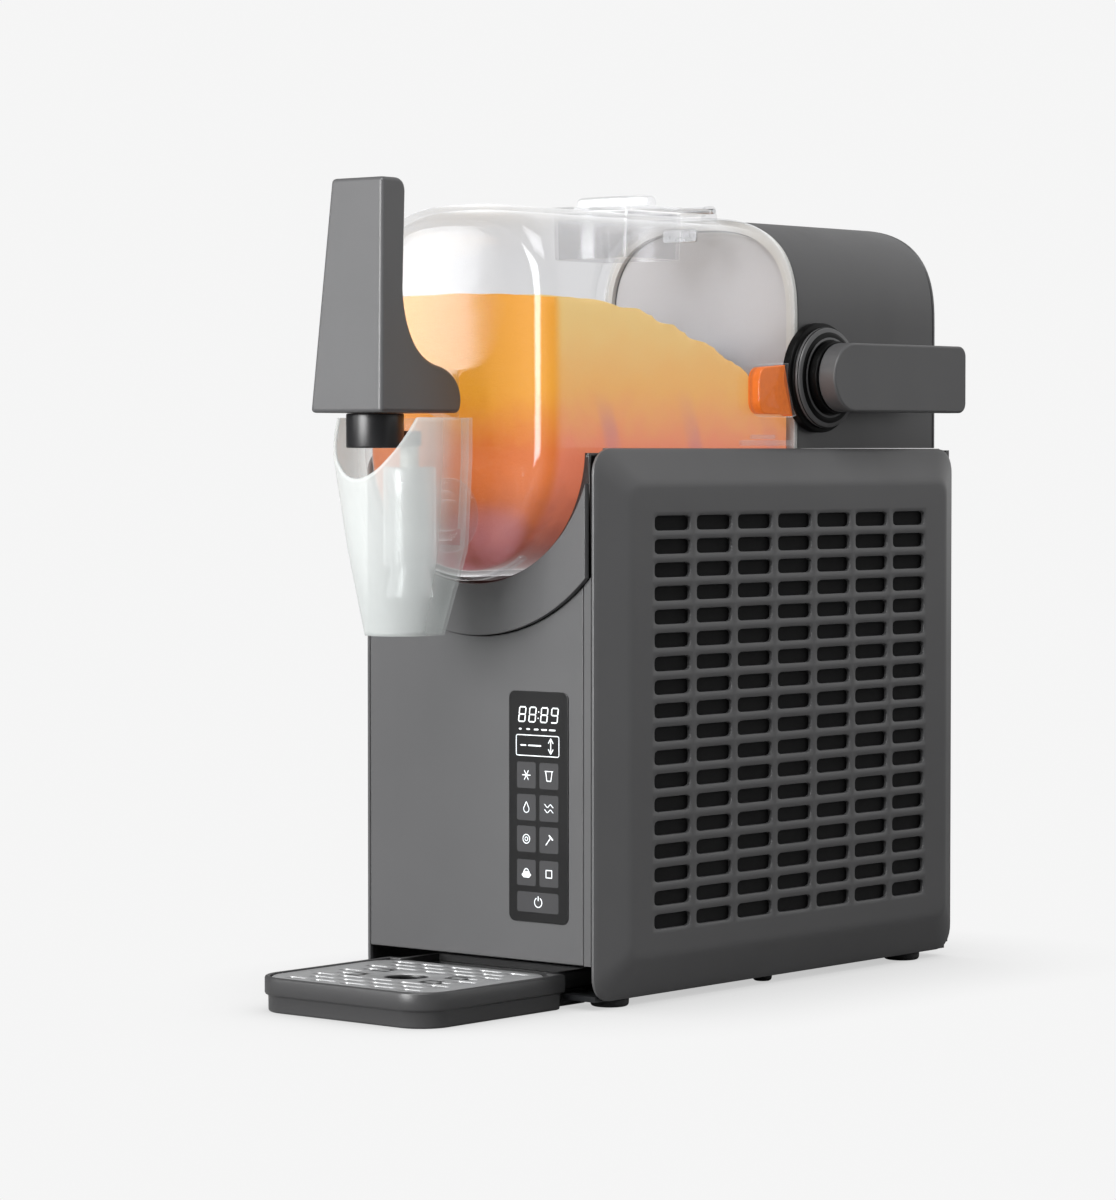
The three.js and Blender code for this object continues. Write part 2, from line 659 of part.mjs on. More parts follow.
function vesselBody(parent) {
  const outer = loft([
    sectionAt(VESSEL_FRONT, 57),
    sectionAt(VESSEL_FRONT + 1.5, 62.5),
    sectionAt(VESSEL_FRONT + 5, 66.7),
    sectionAt(VESSEL_FRONT + 12, VESSEL_HALF),
    sectionAt(VESSEL_REAR, VESSEL_HALF),
  ]);
  const inner = loft([
    sectionAt(VESSEL_FRONT + VESSEL_WALL, 56),
    sectionAt(VESSEL_FRONT + VESSEL_WALL + 3, 62.5),
    sectionAt(VESSEL_FRONT + VESSEL_WALL + 11, VESSEL_HALF - VESSEL_WALL),
    sectionAt(VESSEL_REAR + 1, VESSEL_HALF - VESSEL_WALL),
  ]);
  const shell = solidFrom(outer).subtract(solidFrom(inner));
  const funnelWall = 2;
  const funnel = box(
    -PORT.half - funnelWall,
    PORT.half + funnelWall,
    PORT.y0 - funnelWall,
    PORT.y1 + funnelWall,
    PORT.bottom,
    430.4,
  );
  const lugs = SIDES.map(([, sign]) => {
    const x = sign * 24;
    return box(x - 3, x + 3, LID_HINGE_Y - 5, LID_HINGE_Y + 5, 424, LID_HINGE_Z + 3);
  });
  const handleLug = handleLugPlate();
  const lip = frontLip();
  const boss = extrudeAlongX(outlineShape(roundedOutline(151, 205, 316.5, 346, 9)), 66, 76);
  const cuts = [
    box(-PORT.half, PORT.half, PORT.y0, PORT.y1, PORT.bottom - 1, 440),
    rod("x", 1.6, -40, 40, LID_HINGE_Y, LID_HINGE_Z, 12),
    rod("x", 3.1, -10, 10, HANDLE_PIVOT_Y, HANDLE_PIVOT_Z),
    rod("y", 9.5, VESSEL_FRONT - 2, VESSEL_FRONT + 5, 0, OUTLET_Z),
    rod("x", 32, 60, 90, LEVER_Y, LEVER_Z, 36),
    box(60, 80, 190, 230, 300, 400),
  ];
  const bossOnly = solidFrom(boss)
    .subtract(solidFrom(cuts[4]))
    .subtract(solidFrom(cuts[5]))
    .subtract(solidFrom(inner));
  let made = shell.add(bossOnly).add(solidFrom(funnel));
  for (const piece of [...lugs, handleLug, lip]) {
    made = made.add(solidFrom(piece));
  }
  for (const piece of cuts.slice(0, 4)) {
    made = made.subtract(solidFrom(piece));
  }
  addPart(parent, "vessel", geometryFrom(made), CLEAR_PLASTIC);
}

const OUTLET_Z = 263;
const SPOUT_TOP = 289;
const SPOUT_BORE = 11.3;

function handleLugPlate() {
  const outline = new THREE.Shape();
  outline.moveTo(VESSEL_FRONT + 1, 341);
  outline.lineTo(HANDLE_PIVOT_Y, HANDLE_PIVOT_Z + 7);
  outline.absarc(HANDLE_PIVOT_Y, HANDLE_PIVOT_Z, 7, Math.PI / 2, (3 * Math.PI) / 2, false);
  outline.lineTo(VESSEL_FRONT + 1, 314);
  return extrudeAlongX(outline, -6, 6, 8);
}

// The thickened edge under the vessel's front that drips into the condensate tray.
function frontLip() {
  const reach = 0.6;
  const outline = new THREE.Shape();
  const [from, to] = [-Math.PI / 2 - reach, -Math.PI / 2 + reach];
  outline.absarc(0, AXIS_Z, 72, from, to, false);
  outline.absarc(0, AXIS_Z, 69, to, from, true);
  return extrudeAlongY(outline, VESSEL_FRONT + 12, -6, 12);
}

function vesselGasket(parent) {
  const shape = outlineShape(vesselSection(VESSEL_HALF - 0.3));
  shape.holes.push(new THREE.Path(outlineShape(vesselSection(64)).getPoints()));
  const made = combine(extrudeAlongY(shape, VESSEL_REAR + GAP, TOWER_FRONT - GAP));
  addPart(parent, "vessel_gasket", made, RUBBER);
}

// An upright tube in front of the vessel, fed through a short neck from the vessel's front wall.
// Its floor has a round hole with a bell below it.
function spoutBody(parent) {
  const tube = rod("z", 14, 236, SPOUT_TOP, 0, SPOUT_Y);
  const bell = rod("z", 12.5, 220, 237, 0, SPOUT_Y, ROUND, 9.5);
  const neck = rod("y", 13.5, SPOUT_Y, VESSEL_FRONT - GAP, 0, OUTLET_Z);
  const flange = rod("y", 20, VESSEL_FRONT - 3.3, VESSEL_FRONT - GAP, 0, OUTLET_Z);
  const bore = rod("z", SPOUT_BORE, 240, SPOUT_TOP + 5, 0, SPOUT_Y);
  const nozzle = rod("z", 11, 219, 241, 0, SPOUT_Y, ROUND, 8);
  const passage = rod("y", 8.5, SPOUT_Y, VESSEL_FRONT + 2, 0, OUTLET_Z);
  const made = combine(tube, [bell, neck, flange], [bore, nozzle, passage]);
  addPart(parent, "spout_body", made, CLEAR_PLASTIC);
}

// The stem under the handle carries a fluted spool on an arm. The spool's long land closes the
// neck, and pushed down it lets slush run over it and down its flutes.
function plunger(parent) {
  const group = groupAt(parent, 0, SPOUT_Y, 0);
  const stem = rod("z", 15.2, 299, 317.1, 0, STEM_Y - SPOUT_Y);
  const arm = box(-5, 5, STEM_Y - SPOUT_Y, 5, 300, 308);
  const rodUp = rod("z", 5, 270, 308);
  const land = rod("z", SPOUT_BORE - GAP, 250, 273);
  const flutes = [-0.9, 0, 0.9].map((turn) =>
    box(-2.5, 2.5, -14, -7.5, 248, 275).rotateZ(turn),
  );
  addPart(group, "spout_plunger", combine(stem, [arm, rodUp, land], flutes), BLACK_PLASTIC);
}

// A section of the sleeve: half round in front, with two round corners behind.
function shroudOutline(half, front, rear, corner, z) {
  const steps = 12;
  const arc = (x, y, radius, from, to, count) =>
    Array.from({ length: count + 1 }, (_, i) => {
      const angle = from + ((to - from) * i) / count;
      return [x + radius * Math.cos(angle), y + radius * Math.sin(angle), z];
    });
  return [
    ...arc(0, front + half, half, Math.PI, 2 * Math.PI, steps),
    ...arc(half - corner, rear - corner, corner, 0, Math.PI / 2, 4),
    ...arc(corner - half, rear - corner, corner, Math.PI / 2, Math.PI, 4),
  ];
}

const SHROUD_LEVELS = [
  { z: 200, half: 19, front: -81.3, rear: -41, corner: 12 },
  { z: 246, half: 28, front: -90.4, rear: -31, corner: 14 },
  { z: 294, half: 31, front: -99.6, rear: -31, corner: 14 },
  { z: 315, half: 31, front: -99.6, rear: -31, corner: 14 },
];

// A tapered sleeve round the spout. Its rim slopes down to the front, to leave the stem free,
// and a slot at the back lets it drop off over the spout's neck.
function shroud(parent) {
  const wall = 2;
  const outer = loft(
    SHROUD_LEVELS.map(({ z, half, front, rear, corner }) =>
      shroudOutline(half, front, rear, corner, z),
    ),
  );
  const inner = loft(
    SHROUD_LEVELS.map(({ z, half, front, rear, corner }, i) => {
      const past = i === 0 ? -1 : i === SHROUD_LEVELS.length - 1 ? 1 : 0;
      return shroudOutline(half - wall, front + wall, rear - wall, corner - wall, z + past);
    }),
  );
  const rimCut = outlineShape([
    [-120, 320],
    [-120, 248.6],
    [-77.4, 320],
  ]);
  const slot = box(-16, 16, -45, -25, 246, 320);
  const made = combine(outer, [], [inner, extrudeAlongX(rimCut, -40, 40), slot]);
  addPart(parent, "splash_shroud", made, FROSTED_PLASTIC);
}

// ---- handle -----------------------------------------------------------------------------------

const HANDLE_BOTTOM = 317.4;
const HANDLE_HALF_TOP = 18.3;
const HANDLE_HALF_BOTTOM = 25.3;

// A tall blade with a heel that sweeps back to the pivot; it widens towards the bottom.
function handleBlade() {
  const profile = new THREE.Shape();
  profile.moveTo(-105, HANDLE_BOTTOM);
  profile.lineTo(-46, HANDLE_BOTTOM);
  profile.quadraticCurveTo(-41, HANDLE_BOTTOM, -41, 326);
  profile.quadraticCurveTo(-42, 338, -56, 342);
  profile.quadraticCurveTo(-82, 346, -83, 381);
  profile.lineTo(-78, 433);
  profile.quadraticCurveTo(-78, OVERALL_TOP, -85, OVERALL_TOP);
  profile.lineTo(-96, OVERALL_TOP);
  const blade = extrudeAlongX(profile, -1, 1, 6);
  const positions = blade.attributes.position;
  for (let i = 0; i < positions.count; i++) {
    const up = (positions.getZ(i) - HANDLE_BOTTOM) / (OVERALL_TOP - HANDLE_BOTTOM);
    const half = HANDLE_HALF_BOTTOM + up * (HANDLE_HALF_TOP - HANDLE_HALF_BOTTOM);
    positions.setX(i, positions.getX(i) * half);
  }
  return blade.translate(0, -HANDLE_PIVOT_Y, -HANDLE_PIVOT_Z);
}

function handle(parent) {
  const group = groupAt(parent, 0, HANDLE_PIVOT_Y, HANDLE_PIVOT_Z);
  const lugRoom = box(-13.5, 13.5, -10, 30, -20, 11);
  const pinHole = rod("x", 3 + GAP, -23, 23);
  const made = combine(handleBlade(), [], [lugRoom, pinHole]);
  addPart(group, "dispense_handle", made, GREY_SHELL);
  addPart(group, "handle_pin", rod("x", 3, -22, 22), STEEL);
  addPart(group, "handle_spring", torsionSpring(), STEEL);
}

function torsionSpring() {
  const points = [];
  for (let i = 0; i <= 30; i++) {
    const angle = (i / 10) * 2 * Math.PI;
    points.push(new THREE.Vector3(8 + i / 10, 5 * Math.cos(angle), 5 * Math.sin(angle)));
  }
  const section = new THREE.Shape().absarc(0, 0, 0.4, 0, Math.PI * 2);
  const path = new THREE.CatmullRomCurve3(points);
  const settings = { steps: 30, extrudePath: path, bevelEnabled: false, curveSegments: 3 };
  return combine(new THREE.ExtrudeGeometry(section, settings));
}

// ---- lid ----------------------------------------------------------------------------------------

function lid(parent) {
  const group = groupAt(parent, 0, LID_HINGE_Y, LID_HINGE_Z);
  const plate = extrudeAlongZ(
    outlineShape(roundedOutline(-34, 34, -82, -6, 8)),
    -2.4,
    0.2,
  );
  const knuckle = rod("x", 2.7, -20.4, 20.4, 0, 0, 16);
  const neck = box(-20.4, 20.4, -8, -1, -2.4, 0.2);
  const grip = box(-26, 26, -58, -50, 0, OVERALL_TOP - LID_HINGE_Z);
  const plug = box(-25.5, 25.5, -73, -33, -6, 0);
  const pinHole = rod("x", 1.5 + GAP, -30, 30, 0, 0, 12);
  const made = combine(plate, [knuckle, neck, grip, plug], [pinHole]);
  addPart(group, "vessel_lid", made, CLEAR_PLASTIC);
  addPart(group, "lid_hinge_pin", rod("x", 1.5, -27.5, 27.5, 0, 0, 12), STEEL);
}

// ---- trays ----------------------------------------------------------------------------------------

function condensateTray(parent) {
  const face = new THREE.Shape();
  const outerSpan = Math.asin(78 / APRON_OUTER);
  const innerSpan = Math.asin(78 / APRON_INNER);
  const down = -Math.PI / 2;
  face.absarc(0, APRON_Z, APRON_OUTER, down - outerSpan, down + outerSpan, false);
  face.absarc(0, APRON_Z, APRON_INNER, down + innerSpan, down - innerSpan, true);
  const front = extrudeAlongY(face, -3.6, 0, 24);
  const trough = box(-38, 38, -1, 70, 206, 221);
  const hollow = box(-36, 36, 2, 68, 208, 225);
  const made = combine(front, [trough], [hollow]);
  addPart(parent, "condensate_tray", made, GREY_SHELL);
}

// Half of the tray outline is a wide front with round corners; a narrower tongue runs back
// under the front panel.
function trayOutline(inset) {
  const front = TRAY_FRONT + inset;
  const half = 63 - inset;
  const tongue = 55 - inset;
  const corner = 20 - inset;
  const outline = new THREE.Shape();
  outline.moveTo(-tongue, 30 - inset);
  outline.lineTo(-tongue, -2 - inset);
  outline.lineTo(-half, -2 - inset);
  outline.lineTo(-half, front + corner);
  outline.absarc(-half + corner, front + corner, corner, Math.PI, 1.5 * Math.PI, false);
  outline.absarc(half - corner, front + corner, corner, 1.5 * Math.PI, 2 * Math.PI, false);
  outline.lineTo(half, -2 - inset);
  outline.lineTo(tongue, -2 - inset);
  outline.lineTo(tongue, 30 - inset);
  return outline;
}

function dripTray(parent) {
  const upper = extrudeAlongZ(trayOutline(0), 9, 19, 6);
  const lower = extrudeAlongZ(trayOutline(2), 0, 10, 6);
  const basin = extrudeAlongZ(trayOutline(4.5), 3, 15, 6);
  const seat = extrudeAlongZ(trayOutline(2.6), 14.6, 20, 6);
  addPart(parent, "drip_tray", combine(upper, [lower], [basin, seat]), BLACK_PLASTIC);
}

const GRILLE_ROWS = 9;

function dripGrille(parent) {
  const plate = extrudeAlongZ(outlineShape(grilleOutline()), 15, 18.4, 5);
  const cuts = [];
  for (let row = 0; row < GRILLE_ROWS; row++) {
    const y = -100 + row * 10.6;
    const shift = row % 2 ? 10.5 : 0;
    for (let column = 0; column < 5; column++) {
      const x = -43 + column * 21 + shift;
      const nearHole = Math.abs(y - GRIP_HOLE_Y) < 13 && Math.abs(x) < 23;
      const [x0, x1] = [Math.max(x - 8.5, -52), Math.min(x + 8.5, 52)];
      if (nearHole || x1 - x0 < 5) continue;
      cuts.push(box(x0, x1, y - 2.6, y + 2.6, 10, 22));
    }
  }
  const grip = rod("z", 12, 10, 22, 0, GRIP_HOLE_Y, 20);
  addPart(parent, "drip_grille", combine(plate, [], [...cuts, grip]), GRILLE_METAL);
}

const GRIP_HOLE_Y = -58;

function grilleOutline() {
  return roundedOutline(-59.7, 59.7, TRAY_FRONT + 3.3, -5, 17.5);
}

// ---- assembly ------------------------------------------------------------------------------------

const group = new THREE.Group();
const midX = (LEVER_OUT - FACE_HALF) / 2;
const midY = (GLAND_OUT + TRAY_FRONT) / 2;
const machine = groupAt(group, -midX, -midY, 0);

basePlate(machine);
feet(machine);
for (const [side, sign] of SIDES) {
  sidePanel(machine, side, sign);
  dustFilter(machine, side, sign);
}
frontPanel(machine);
controlPanel(machine);
rearPanel(machine);
topDeck(machine);
cradle(machine);
tower(machine);
coolingUnit(machine);
fan(machine);
drive(machine);
evaporator(machine);
auger(machine);
pinion(machine);
leverCollar(machine);
lever(machine);
vesselBody(machine);
vesselGasket(machine);
spoutBody(machine);
plunger(machine);
shroud(machine);
handle(machine);
lid(machine);
condensateTray(machine);
dripTray(machine);
dripGrille(machine);

export default group;
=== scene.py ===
"""Looks of the slush machine, built round its packed frame as a Blender add-on.

Shapes are worked out in millimetres in the machine's own axes: X from the middle plane to the
right, Y from the front panel's face to the back, Z up from the table. put() turns them into
metres in the frame's axes.
"""

import json
import math

import bmesh
import bpy
import numpy as np
from bpy.props import FloatProperty, FloatVectorProperty, PointerProperty
from mathutils import Euler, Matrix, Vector


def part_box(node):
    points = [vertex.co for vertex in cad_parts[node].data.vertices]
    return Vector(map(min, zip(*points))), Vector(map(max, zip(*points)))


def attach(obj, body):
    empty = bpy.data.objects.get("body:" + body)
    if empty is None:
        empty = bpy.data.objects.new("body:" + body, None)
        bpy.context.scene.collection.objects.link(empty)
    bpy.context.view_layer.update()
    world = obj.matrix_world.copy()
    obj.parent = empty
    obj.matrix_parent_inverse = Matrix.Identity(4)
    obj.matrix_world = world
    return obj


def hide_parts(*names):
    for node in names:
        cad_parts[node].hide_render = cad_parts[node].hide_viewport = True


bl_info = {
    "name": "Slush Machine",
    "version": (1, 0, 0),
    "blender": (4, 5, 0),
    "location": "3D View > Sidebar > Slush Machine",
    "description": "Builds the visible pieces of a countertop slush machine",
    "category": "Add Mesh",
}

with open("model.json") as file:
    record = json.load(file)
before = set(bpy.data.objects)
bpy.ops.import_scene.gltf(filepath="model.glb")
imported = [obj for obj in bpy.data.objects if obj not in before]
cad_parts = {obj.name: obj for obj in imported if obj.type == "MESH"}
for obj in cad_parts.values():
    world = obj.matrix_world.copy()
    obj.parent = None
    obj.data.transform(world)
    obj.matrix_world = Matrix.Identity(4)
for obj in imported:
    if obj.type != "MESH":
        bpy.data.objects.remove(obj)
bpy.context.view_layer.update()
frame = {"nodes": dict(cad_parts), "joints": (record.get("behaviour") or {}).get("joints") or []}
JOINTS = {joint["name"]: joint for joint in frame["joints"]}


def hinge_at(name):
    return np.array(JOINTS[name]["pos_m"])


MM = 0.001
AUGER_AXIS = hinge_at("auger_spin")
ORIGIN = np.array([AUGER_AXIS[0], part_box("front_panel")[0].y, 0.0])


def machine_mm(point):
    """A frame point in metres as machine millimetres."""
    return (np.array(point) - ORIGIN) / MM


def node_mm(name):
    """The lowest and highest corners of a CAD node in machine millimetres."""
    low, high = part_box(name)
    return machine_mm(low), machine_mm(high)


AXIS_Z = machine_mm(AUGER_AXIS)[2]
HANDLE_Y, HANDLE_Z = machine_mm(hinge_at("handle_pull"))[1:]
LEVER_Y, LEVER_Z = machine_mm(hinge_at("lever_swing"))[1:]
LID_Y, LID_Z = machine_mm(hinge_at("lid_open"))[1:]
TOWER_LOW, TOWER_HIGH = node_mm("tower_shell")
PANEL_LOW, PANEL_HIGH = node_mm("side_panel_right")
FRONT_LOW, FRONT_HIGH = node_mm("front_panel")
TRAY_LOW, TRAY_HIGH = node_mm("drip_tray")

VESSEL_HALF = 70.0
SHOULDER_Z = 370.0
CROWN = 60.0
CROWN_POWER = 2.8
VESSEL_FRONT = -22.0
FACE_HALF_WIDTH = 57.0
VESSEL_REAR = 191.3
VESSEL_WALL = 3.0
APRON_Z = 309.0
APRON_OUTER = 111.0
APRON_INNER = 83.0
SPOUT_Y = -55.0
STEM_Y = -82.0
OUTLET_Z = 263.0
AUGER_SWEEP = 65.9
AUGER_TURN_LENGTH = 0.0708
SLEEVE_LOW, SLEEVE_HIGH = 200, 315
SLEEVE_SLOT_HALF = 16


# ---- sizes and colours a user may change -------------------------------------


class SlushSizes(bpy.types.PropertyGroup):
    vent_corner: FloatProperty(
        name="Vent corner",
        description="Corner radius of one vent slot",
        default=0.0026,
        min=0.0005,
        max=0.0038,
        unit="LENGTH",
    )
    slush_level: FloatProperty(
        name="Slush level",
        description="Height of the slush at the front of the vessel",
        default=0.3815,
        min=0.368,
        max=0.4,
        unit="LENGTH",
    )


def colour(name, description, value):
    return FloatVectorProperty(
        name=name,
        description=description,
        subtype="COLOR",
        size=3,
        min=0.0,
        max=1.0,
        default=value,
    )


class SlushColours(bpy.types.PropertyGroup):
    shell: colour("Shell", "Grey of the housing and the handle", (0.080, 0.080, 0.082))
    black: colour("Black parts", "Black of the trays, collar and stem", (0.009, 0.009, 0.010))
    slush_light: colour("Slush, light", "Upper side of the slush", (0.93, 0.62, 0.19))
    slush_middle: colour("Slush, middle", "Middle of the slush's side", (0.93, 0.45, 0.09))
    slush_deep: colour("Slush, deep", "Lower side of the slush", (0.90, 0.23, 0.11))
    slush_front: colour("Slush, front", "Slush behind the vessel's front", (0.95, 0.39, 0.006))
    # painted shade: this dark colour stands for the shade on the slush under the vessel's front
    slush_dark: colour("Slush, dark", "Slush under the vessel's front", (0.17, 0.009, 0.0006))


def sizes():
    return bpy.context.scene.slush_sizes


def colours():
    return bpy.context.scene.slush_colours


# ---- finishes ----------------------------------------------------------------


class Wire:
    """A shader socket that adds Math nodes when it is used in an expression."""

    def __init__(self, finish, socket):
        self.finish = finish
        self.socket = socket

    def _math(self, operation, a, b=None):
        inputs = {0: a} if b is None else {0: a, 1: b}
        return self.finish.node("ShaderNodeMath", {"operation": operation}, inputs)

    def __add__(self, other):
        return self._math("ADD", self, other)

    __radd__ = __add__

    def __sub__(self, other):
        return self._math("SUBTRACT", self, other)

    def __rsub__(self, other):
        return self._math("SUBTRACT", other, self)

    def __mul__(self, other):
        return self._math("MULTIPLY", self, other)

    __rmul__ = __mul__

    def __truediv__(self, other):
        return self._math("DIVIDE", self, other)

    def __pow__(self, other):
        return self._math("POWER", self, other)

    def __abs__(self):
        return self._math("ABSOLUTE", self)

    def step(self, low, high):
        """0 below low, 1 above high, with a smooth rise between."""
        return self.finish.node(
            "ShaderNodeMapRange",
            {"interpolation_type": "SMOOTHSTEP"},
            {"Value": self, "From Min": low, "From Max": high},
        )


class Finish:
    """One material, built node by node round a Principled shader."""

    def __init__(self, name, world=None):
        """Nodes of a new material of that name, or of the world that is given."""
        self.owner = world or bpy.data.materials.new(name)
        self.owner.use_nodes = True
        self.tree = self.owner.node_tree
        self.tree.nodes.clear()

    def node(self, kind, settings=None, inputs=None, output=0):
        """Adds a node, sets its settings, then its inputs, and returns one output."""
        made = self.tree.nodes.new(kind)
        for key, value in (settings or {}).items():
            setattr(made, key, value)
        for key, value in (inputs or {}).items():
            socket = made.inputs[key]
            if isinstance(value, Wire):
                self.tree.links.new(value.socket, socket)
            else:
                socket.default_value = value
        return Wire(self, made.outputs[output])

    def place(self):
        """The X, Y and Z of Object coordinates, in metres."""
        return self.split(self.node("ShaderNodeTexCoord", output="Object"))

    def split(self, vector):
        first = self.node("ShaderNodeSeparateXYZ", {}, {0: vector})
        parts = first.socket.node
        return [Wire(self, parts.outputs[i]) for i in range(3)]

    def noise(self, scale, detail=3.0, roughness=0.5, stretch=(1, 1, 1)):
        coords = self.node("ShaderNodeTexCoord", output="Object")
        mapped = self.node("ShaderNodeMapping", {}, {"Vector": coords, "Scale": stretch})
        inputs = {"Vector": mapped, "Scale": scale, "Detail": detail, "Roughness": roughness}
        return self.node("ShaderNodeTexNoise", {}, inputs)

    def blend(self, factor, a, b):
        """Colour a where factor is 0, colour b where it is 1."""
        inputs = {0: factor, 6: rgba(a), 7: rgba(b)}
        return self.node("ShaderNodeMix", {"data_type": "RGBA"}, inputs, output=2)

    def bump(self, height, strength, distance):
        inputs = {"Height": height, "Strength": strength, "Distance": distance}
        return self.node("ShaderNodeBump", {}, inputs)

    def principled(self, inputs):
        return self.node("ShaderNodeBsdfPrincipled", {}, inputs)

    def close(self, shader, kind="ShaderNodeOutputMaterial"):
        output = self.tree.nodes.new(kind)
        self.tree.links.new(shader.socket, output.inputs["Surface"])
        return self.owner


def rgba(value):
    if isinstance(value, Wire):
        return value
    return (*value, 1.0) if len(value) == 3 else tuple(value)


def scaled(value, factor):
    return tuple(min(channel * factor, 1.0) for channel in value)


def moulded_plastic(name, base, rough, grain_depth=0.00003, gloss=0.5):
    """Satin moulded plastic: fine spark texture, faint cloudiness and handling marks."""
    f = Finish(name)
    grain = f.noise(2600.0, 2.0, 0.6)
    cloud = f.noise(14.0, 4.0, 0.55)
    smear = f.noise(45.0, 5.0, 0.6, (1, 1, 0.25))
    tint = f.blend(cloud, scaled(base, 0.92), scaled(base, 1.08))
    roughness = rough + (smear - 0.5) * 0.12 + (grain - 0.5) * 0.06
    normal = f.bump(grain, 0.35, grain_depth)
    shader = {
        "Base Color": tint, "Roughness": roughness, "Normal": normal, "Specular IOR Level": gloss
    }
    return f.close(f.principled(shader))


def metal(name, base, rough, brush=(1, 1, 1), metallic=1.0):
    """Metal with fine lines where brush stretches the noise, and duller patches."""
    f = Finish(name)
    lines = f.noise(900.0, 3.0, 0.6, brush)
    patch = f.noise(30.0, 3.0, 0.5)
    tint = f.blend(lines, scaled(base, 0.85), scaled(base, 1.1))
    roughness = rough + (lines - 0.5) * 0.18 + (patch - 0.5) * 0.1
    normal = f.bump(lines, 0.2, 0.00002)
    shader = {"Base Color": tint, "Roughness": roughness, "Normal": normal, "Metallic": metallic}
    return f.close(f.principled(shader))


def grille_metal(name):
    """Brushed plate, bright on top and dark down in the slots."""
    f = Finish(name)
    _, _, z = f.place()
    top = node_mm("drip_grille")[1][2] * MM
    lines = f.noise(900.0, 3.0, 0.6, (0.05, 1, 1))
    above_painted_slot_shade = z.step(top - 0.0012, top - 0.0003)
    plate = f.blend(lines, (0.38, 0.385, 0.39), (0.5, 0.505, 0.51))
    # painted shade: below the top face the slot walls get a near-black colour and no metal,
    # standing for the shade in the slots
    tint = f.blend(above_painted_slot_shade, (0.012, 0.012, 0.013), plate)
    shader = {
        "Base Color": tint,
        "Roughness": 0.32 + lines * 0.12,
        "Metallic": above_painted_slot_shade * 0.45,
        "Normal": f.bump(lines, 0.2, 0.00002),
    }
    return f.close(f.principled(shader))


def clear_plastic(name, tint, haze, rough=0.04):
    """Clear moulded plastic: see-through, brighter at grazing angles, with a trace of haze.

    The mirror share is 0.04 + 0.96 * facing^5, the same from either side of a wall."""
    f = Finish(name)
    facing = f.node("ShaderNodeLayerWeight", {}, {"Blend": 0.5}, output="Facing")
    flow = f.noise(14.0, 3.0, 0.5, (1, 0.3, 1))
    share = facing**5 * 0.9 + 0.03 + haze + (flow - 0.5) * 0.02
    through = f.node("ShaderNodeBsdfTransparent", {}, {"Color": rgba(tint)})
    tone = f.blend(facing, (0.62, 0.63, 0.64), (0.8, 0.81, 0.82))
    ripple = f.bump(flow, 0.2, 0.0004)
    shader = {
        "Base Color": tone,
        "Roughness": rough + flow * 0.03,
        "Normal": ripple,
        "Metallic": 0.6,
        # painted highlight: an emitted glow that grows towards grazing angles, standing for light
        # on the rims
        "Emission Color": f.blend(facing, (0.0, 0.0, 0.0), (0.8, 0.81, 0.82)),
        "Emission Strength": 0.5,
    }
    mixed = f.node("ShaderNodeMixShader", {}, {0: share, 1: through, 2: f.principled(shader)})
    return f.close(mixed)


def frosted_plastic(name):
    """Milky sleeve: cloudy in front, clearer on the walls next to the vessel."""
    f = Finish(name)
    _, y, z = f.place()
    rear = y.step(ORIGIN[1] - 0.072, ORIGIN[1] - 0.05)
    facing = f.node("ShaderNodeLayerWeight", {}, {"Blend": 0.4}, output="Facing")
    cloud = f.noise(60.0, 4.0, 0.6)
    grain = f.noise(3000.0, 2.0, 0.5)
    share = 0.42 - rear * 0.36 + facing * 0.2 + (cloud - 0.5) * 0.04
    low = z.step(0.26, 0.2)
    tone = f.blend(low, (0.56, 0.58, 0.575), (0.5, 0.52, 0.515))
    through = f.node("ShaderNodeBsdfTransparent", {}, {"Color": (0.97, 0.98, 0.975, 1)})
    normal = f.bump(grain, 0.3, 0.00004)
    shader = {
        "Base Color": tone,
        "Roughness": 0.34 - rear * 0.18,
        "Normal": normal,
        # painted glow: the sleeve's tone is emitted, so it lights itself though it is no lamp
        "Emission Color": tone,
        "Emission Strength": 0.3,
    }
    solid = f.principled(shader)
    mixed = f.node("ShaderNodeMixShader", {}, {0: share, 1: through, 2: solid})
    return f.close(mixed)


